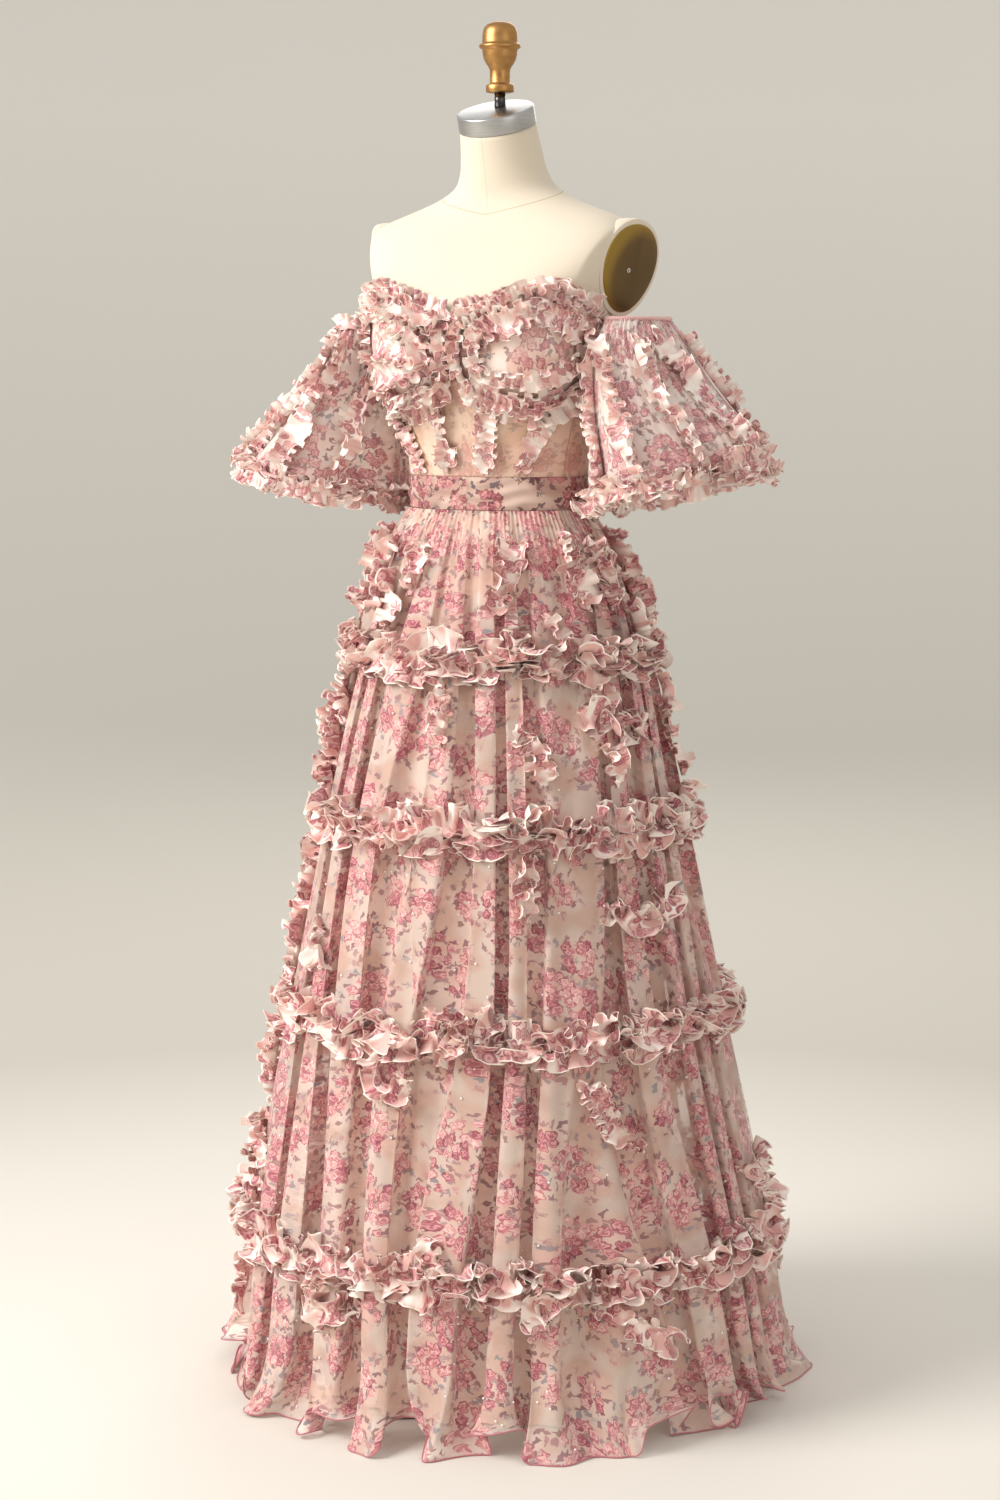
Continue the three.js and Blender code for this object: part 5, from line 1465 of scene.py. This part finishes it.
def makePearls(sizes):
    # pearls are scattered on the lower four tiers and come back as one plain mesh
    tree = bpy.data.node_groups.new("scattered pearls", "GeometryNodeTree")
    tree.interface.new_socket("Geometry", in_out="INPUT", socket_type="NodeSocketGeometry")
    for label, kind in (("Radius", "Float"), ("Lift", "Float"), ("Density", "Float"),
                        ("Seed", "Int"), ("Pearl", "Material")):
        tree.interface.new_socket(label, in_out="INPUT", socket_type=f"NodeSocket{kind}")
    tree.interface.new_socket("Geometry", in_out="OUTPUT", socket_type="NodeSocketGeometry")
    given = addNode(tree, "NodeGroupInput").outputs
    spots = addNode(tree, "GeometryNodeDistributePointsOnFaces", {"distribute_method": "RANDOM"},
                    {"Mesh": given["Geometry"], "Density": given["Density"],
                     "Seed": given["Seed"]})
    ball = addNode(tree, "GeometryNodeMeshIcoSphere", None,
                   {"Radius": given["Radius"], "Subdivisions": 2})
    outward = addNode(tree, "ShaderNodeVectorMath", {"operation": "SCALE"},
                      {0: spots.outputs["Normal"], "Scale": given["Lift"]})
    lifted = addNode(tree, "GeometryNodeSetPosition", None,
                     {"Geometry": spots.outputs["Points"], "Offset": outward.outputs[0]})
    laid = addNode(tree, "GeometryNodeInstanceOnPoints", None,
                   {"Points": lifted.outputs[0], "Instance": ball.outputs["Mesh"]})
    real = addNode(tree, "GeometryNodeRealizeInstances", None, {"Geometry": laid.outputs[0]})
    smooth = addNode(tree, "GeometryNodeSetShadeSmooth", None, {0: real.outputs[0]})
    done = addNode(tree, "GeometryNodeSetMaterial", None,
                   {"Geometry": smooth.outputs[0], "Material": given["Pearl"]})
    addNode(tree, "NodeGroupOutput", None, {0: done.outputs[0]})

    pearl, pearlTree, shader = newMaterial("glass pearl")
    place = addNode(pearlTree, "ShaderNodeTexCoord").outputs["Object"]
    glow = addNode(pearlTree, "ShaderNodeTexNoise", None, {"Vector": place, "Scale": 400.0})
    tint = addNode(pearlTree, "ShaderNodeMix", {"data_type": "RGBA"},
                   {0: glow.outputs["Fac"], 6: linear("#f6efe8"), 7: linear("#ffffff")})
    pearlTree.links.new(tint.outputs[2], shader.inputs["Base Color"])
    shader.inputs["Roughness"].default_value = 0.2
    shader.inputs["Coat Weight"].default_value = 0.5

    points, faces, start = [], [], 0
    for tier, grid, rests in tiers[1:]:
        points += [tuple(v.co) for v in tier.data.vertices]
        faces += [tuple(start + i for i in p.vertices) for p in tier.data.polygons]
        start = len(points)
    mesh = bpy.data.meshes.new("pearl ground")
    mesh.from_pydata(points, [], faces)
    ground = bpy.data.objects.new("pearl ground", mesh)
    scene.collection.objects.link(ground)
    scatter = ground.modifiers.new("scatter", "NODES")
    scatter.node_group = tree
    values = {"Radius": sizes["radius"], "Lift": sizes["lift"],
              "Density": sizes["perSquareMetre"], "Seed": sizes["seed"], "Pearl": pearl}
    for item in tree.interface.items_tree:
        if item.in_out == "INPUT" and item.name in values:
            scatter[item.identifier] = values[item.name]
    shown = ground.evaluated_get(bpy.context.evaluated_depsgraph_get())
    plain = bpy.data.meshes.new_from_object(shown)
    bpy.data.objects.remove(ground)
    pearls = bpy.data.objects.new("pearls", plain)
    scene.collection.objects.link(pearls)
    settle(pearls, "print")
    return pearls


makeCasings(casingSizes)
makeZipSeam(zipSizes)
pearls = makePearls(pearlSizes)
recoat(("zip_slider", "zip_pull"), zipLacquer)
print("casings, zip and pearls made")

for k, (tier, grid, rests) in enumerate(tiers):
    declareCloth([grid])
declareCloth([slipGrid])
for piece, grids, held, rests in sheets:
    declareCloth(grids)
for piece, grids, rests in frills:
    declareCloth(grids)


# floor and light
stageSizes = {
    "flat": 1.9, "curve": 14.0, "rise": 60, "span": 12,
    "lightFalloff": [  # painted light and shade: the floor's colour at shares of the span out from the middle, lighter round the middle and far up the wall, darkest some 2 m out
        (0.055, "#e6e2da"), (0.1, "#dcd8cf"), (0.165, "#c3bfb6"), (0.36, "#cfcbc2"),
        (0.8, "#f3efe7"),
    ],
}
lightSizes = [
    {"name": "key", "at": (-2.75, -3.1, 3.3), "aim": (0, 0, 1.35), "size": 3.0, "watts": 250},
    {"name": "fill", "at": (3.4, -1.8, 1.8), "aim": (0, 0, 0.9), "size": 2.6, "watts": 14},
    {"name": "back", "at": (-1.2, 3.2, 2.6), "aim": (0, 0, 1.0), "size": 2.2, "watts": 35},
]
lampColor = (1.0, 0.97, 0.93)
skySizes = {"color": "#f3f1ee", "strength": 0.73}


def makeStage(sizes):
    angles = np.radians(np.arange(0, sizes["rise"] + 1, 2.5))
    radius = np.concatenate([[0.0], np.linspace(0.5, sizes["flat"], 8),
                             sizes["flat"] + sizes["curve"] * np.sin(angles[1:])]) * 1000
    up = np.concatenate([np.zeros(9), sizes["curve"] * (1 - np.cos(angles[1:]))]) * 1000
    grid = turnedShape(list(zip(radius, up)), 96, 0)
    material, tree, shader = newMaterial("studio floor with painted light falloff")
    place = addNode(tree, "ShaderNodeTexCoord").outputs["Object"]
    ground = addNode(tree, "ShaderNodeVectorMath", {"operation": "MULTIPLY"},
                     {0: place, 1: (1 / sizes["span"], 1 / sizes["span"], 0)})
    away = addNode(tree, "ShaderNodeVectorMath", {"operation": "LENGTH"}, {0: ground.outputs[0]})
    # painted light and shade: the floor is lighter round the gown, darkest some 2 m out and lighter
    # again up the far wall
    lightFalloff = addNode(tree, "ShaderNodeValToRGB", None, {0: away.outputs["Value"]})
    setRamp(lightFalloff, sizes["lightFalloff"])
    marks = addNode(tree, "ShaderNodeTexNoise", None,
                    {"Vector": place, "Scale": 1.2, "Detail": 2.0})
    faint = addNode(tree, "ShaderNodeMath", {"operation": "MULTIPLY"},
                    {0: marks.outputs["Fac"], 1: 0.06})
    tone = addNode(tree, "ShaderNodeMix", {"data_type": "RGBA"},
                   {0: faint.outputs[0], 6: lightFalloff.outputs[0], 7: linear("#cfc9bf")})
    tree.links.new(tone.outputs[2], shader.inputs["Base Color"])
    shader.inputs["Roughness"].default_value = 0.9
    grid["flip"] = True
    makePiece("studio_floor", [grid], material)


def makeLights(rows, sky):
    for row in rows:
        data = bpy.data.lights.new(row["name"], "AREA")
        data.shape = "DISK"
        data.size = row["size"]
        data.energy = row["watts"]
        data.color = lampColor
        lamp = bpy.data.objects.new(row["name"], data)
        way = np.array(row["aim"]) - np.array(row["at"])
        flat = math.hypot(way[0], way[1])
        lamp.location = row["at"]
        turn = math.atan2(way[1], way[0]) - math.pi / 2
        lamp.rotation_euler = (math.atan2(flat, -way[2]), 0, turn)
        scene.collection.objects.link(lamp)
    world = bpy.data.worlds.new("studio")
    world.use_nodes = True
    background = world.node_tree.nodes["Background"]
    background.inputs["Color"].default_value = linear(sky["color"])
    background.inputs["Strength"].default_value = sky["strength"]
    scene.world = world


makeStage(stageSizes)
makeLights(lightSizes, skySizes)
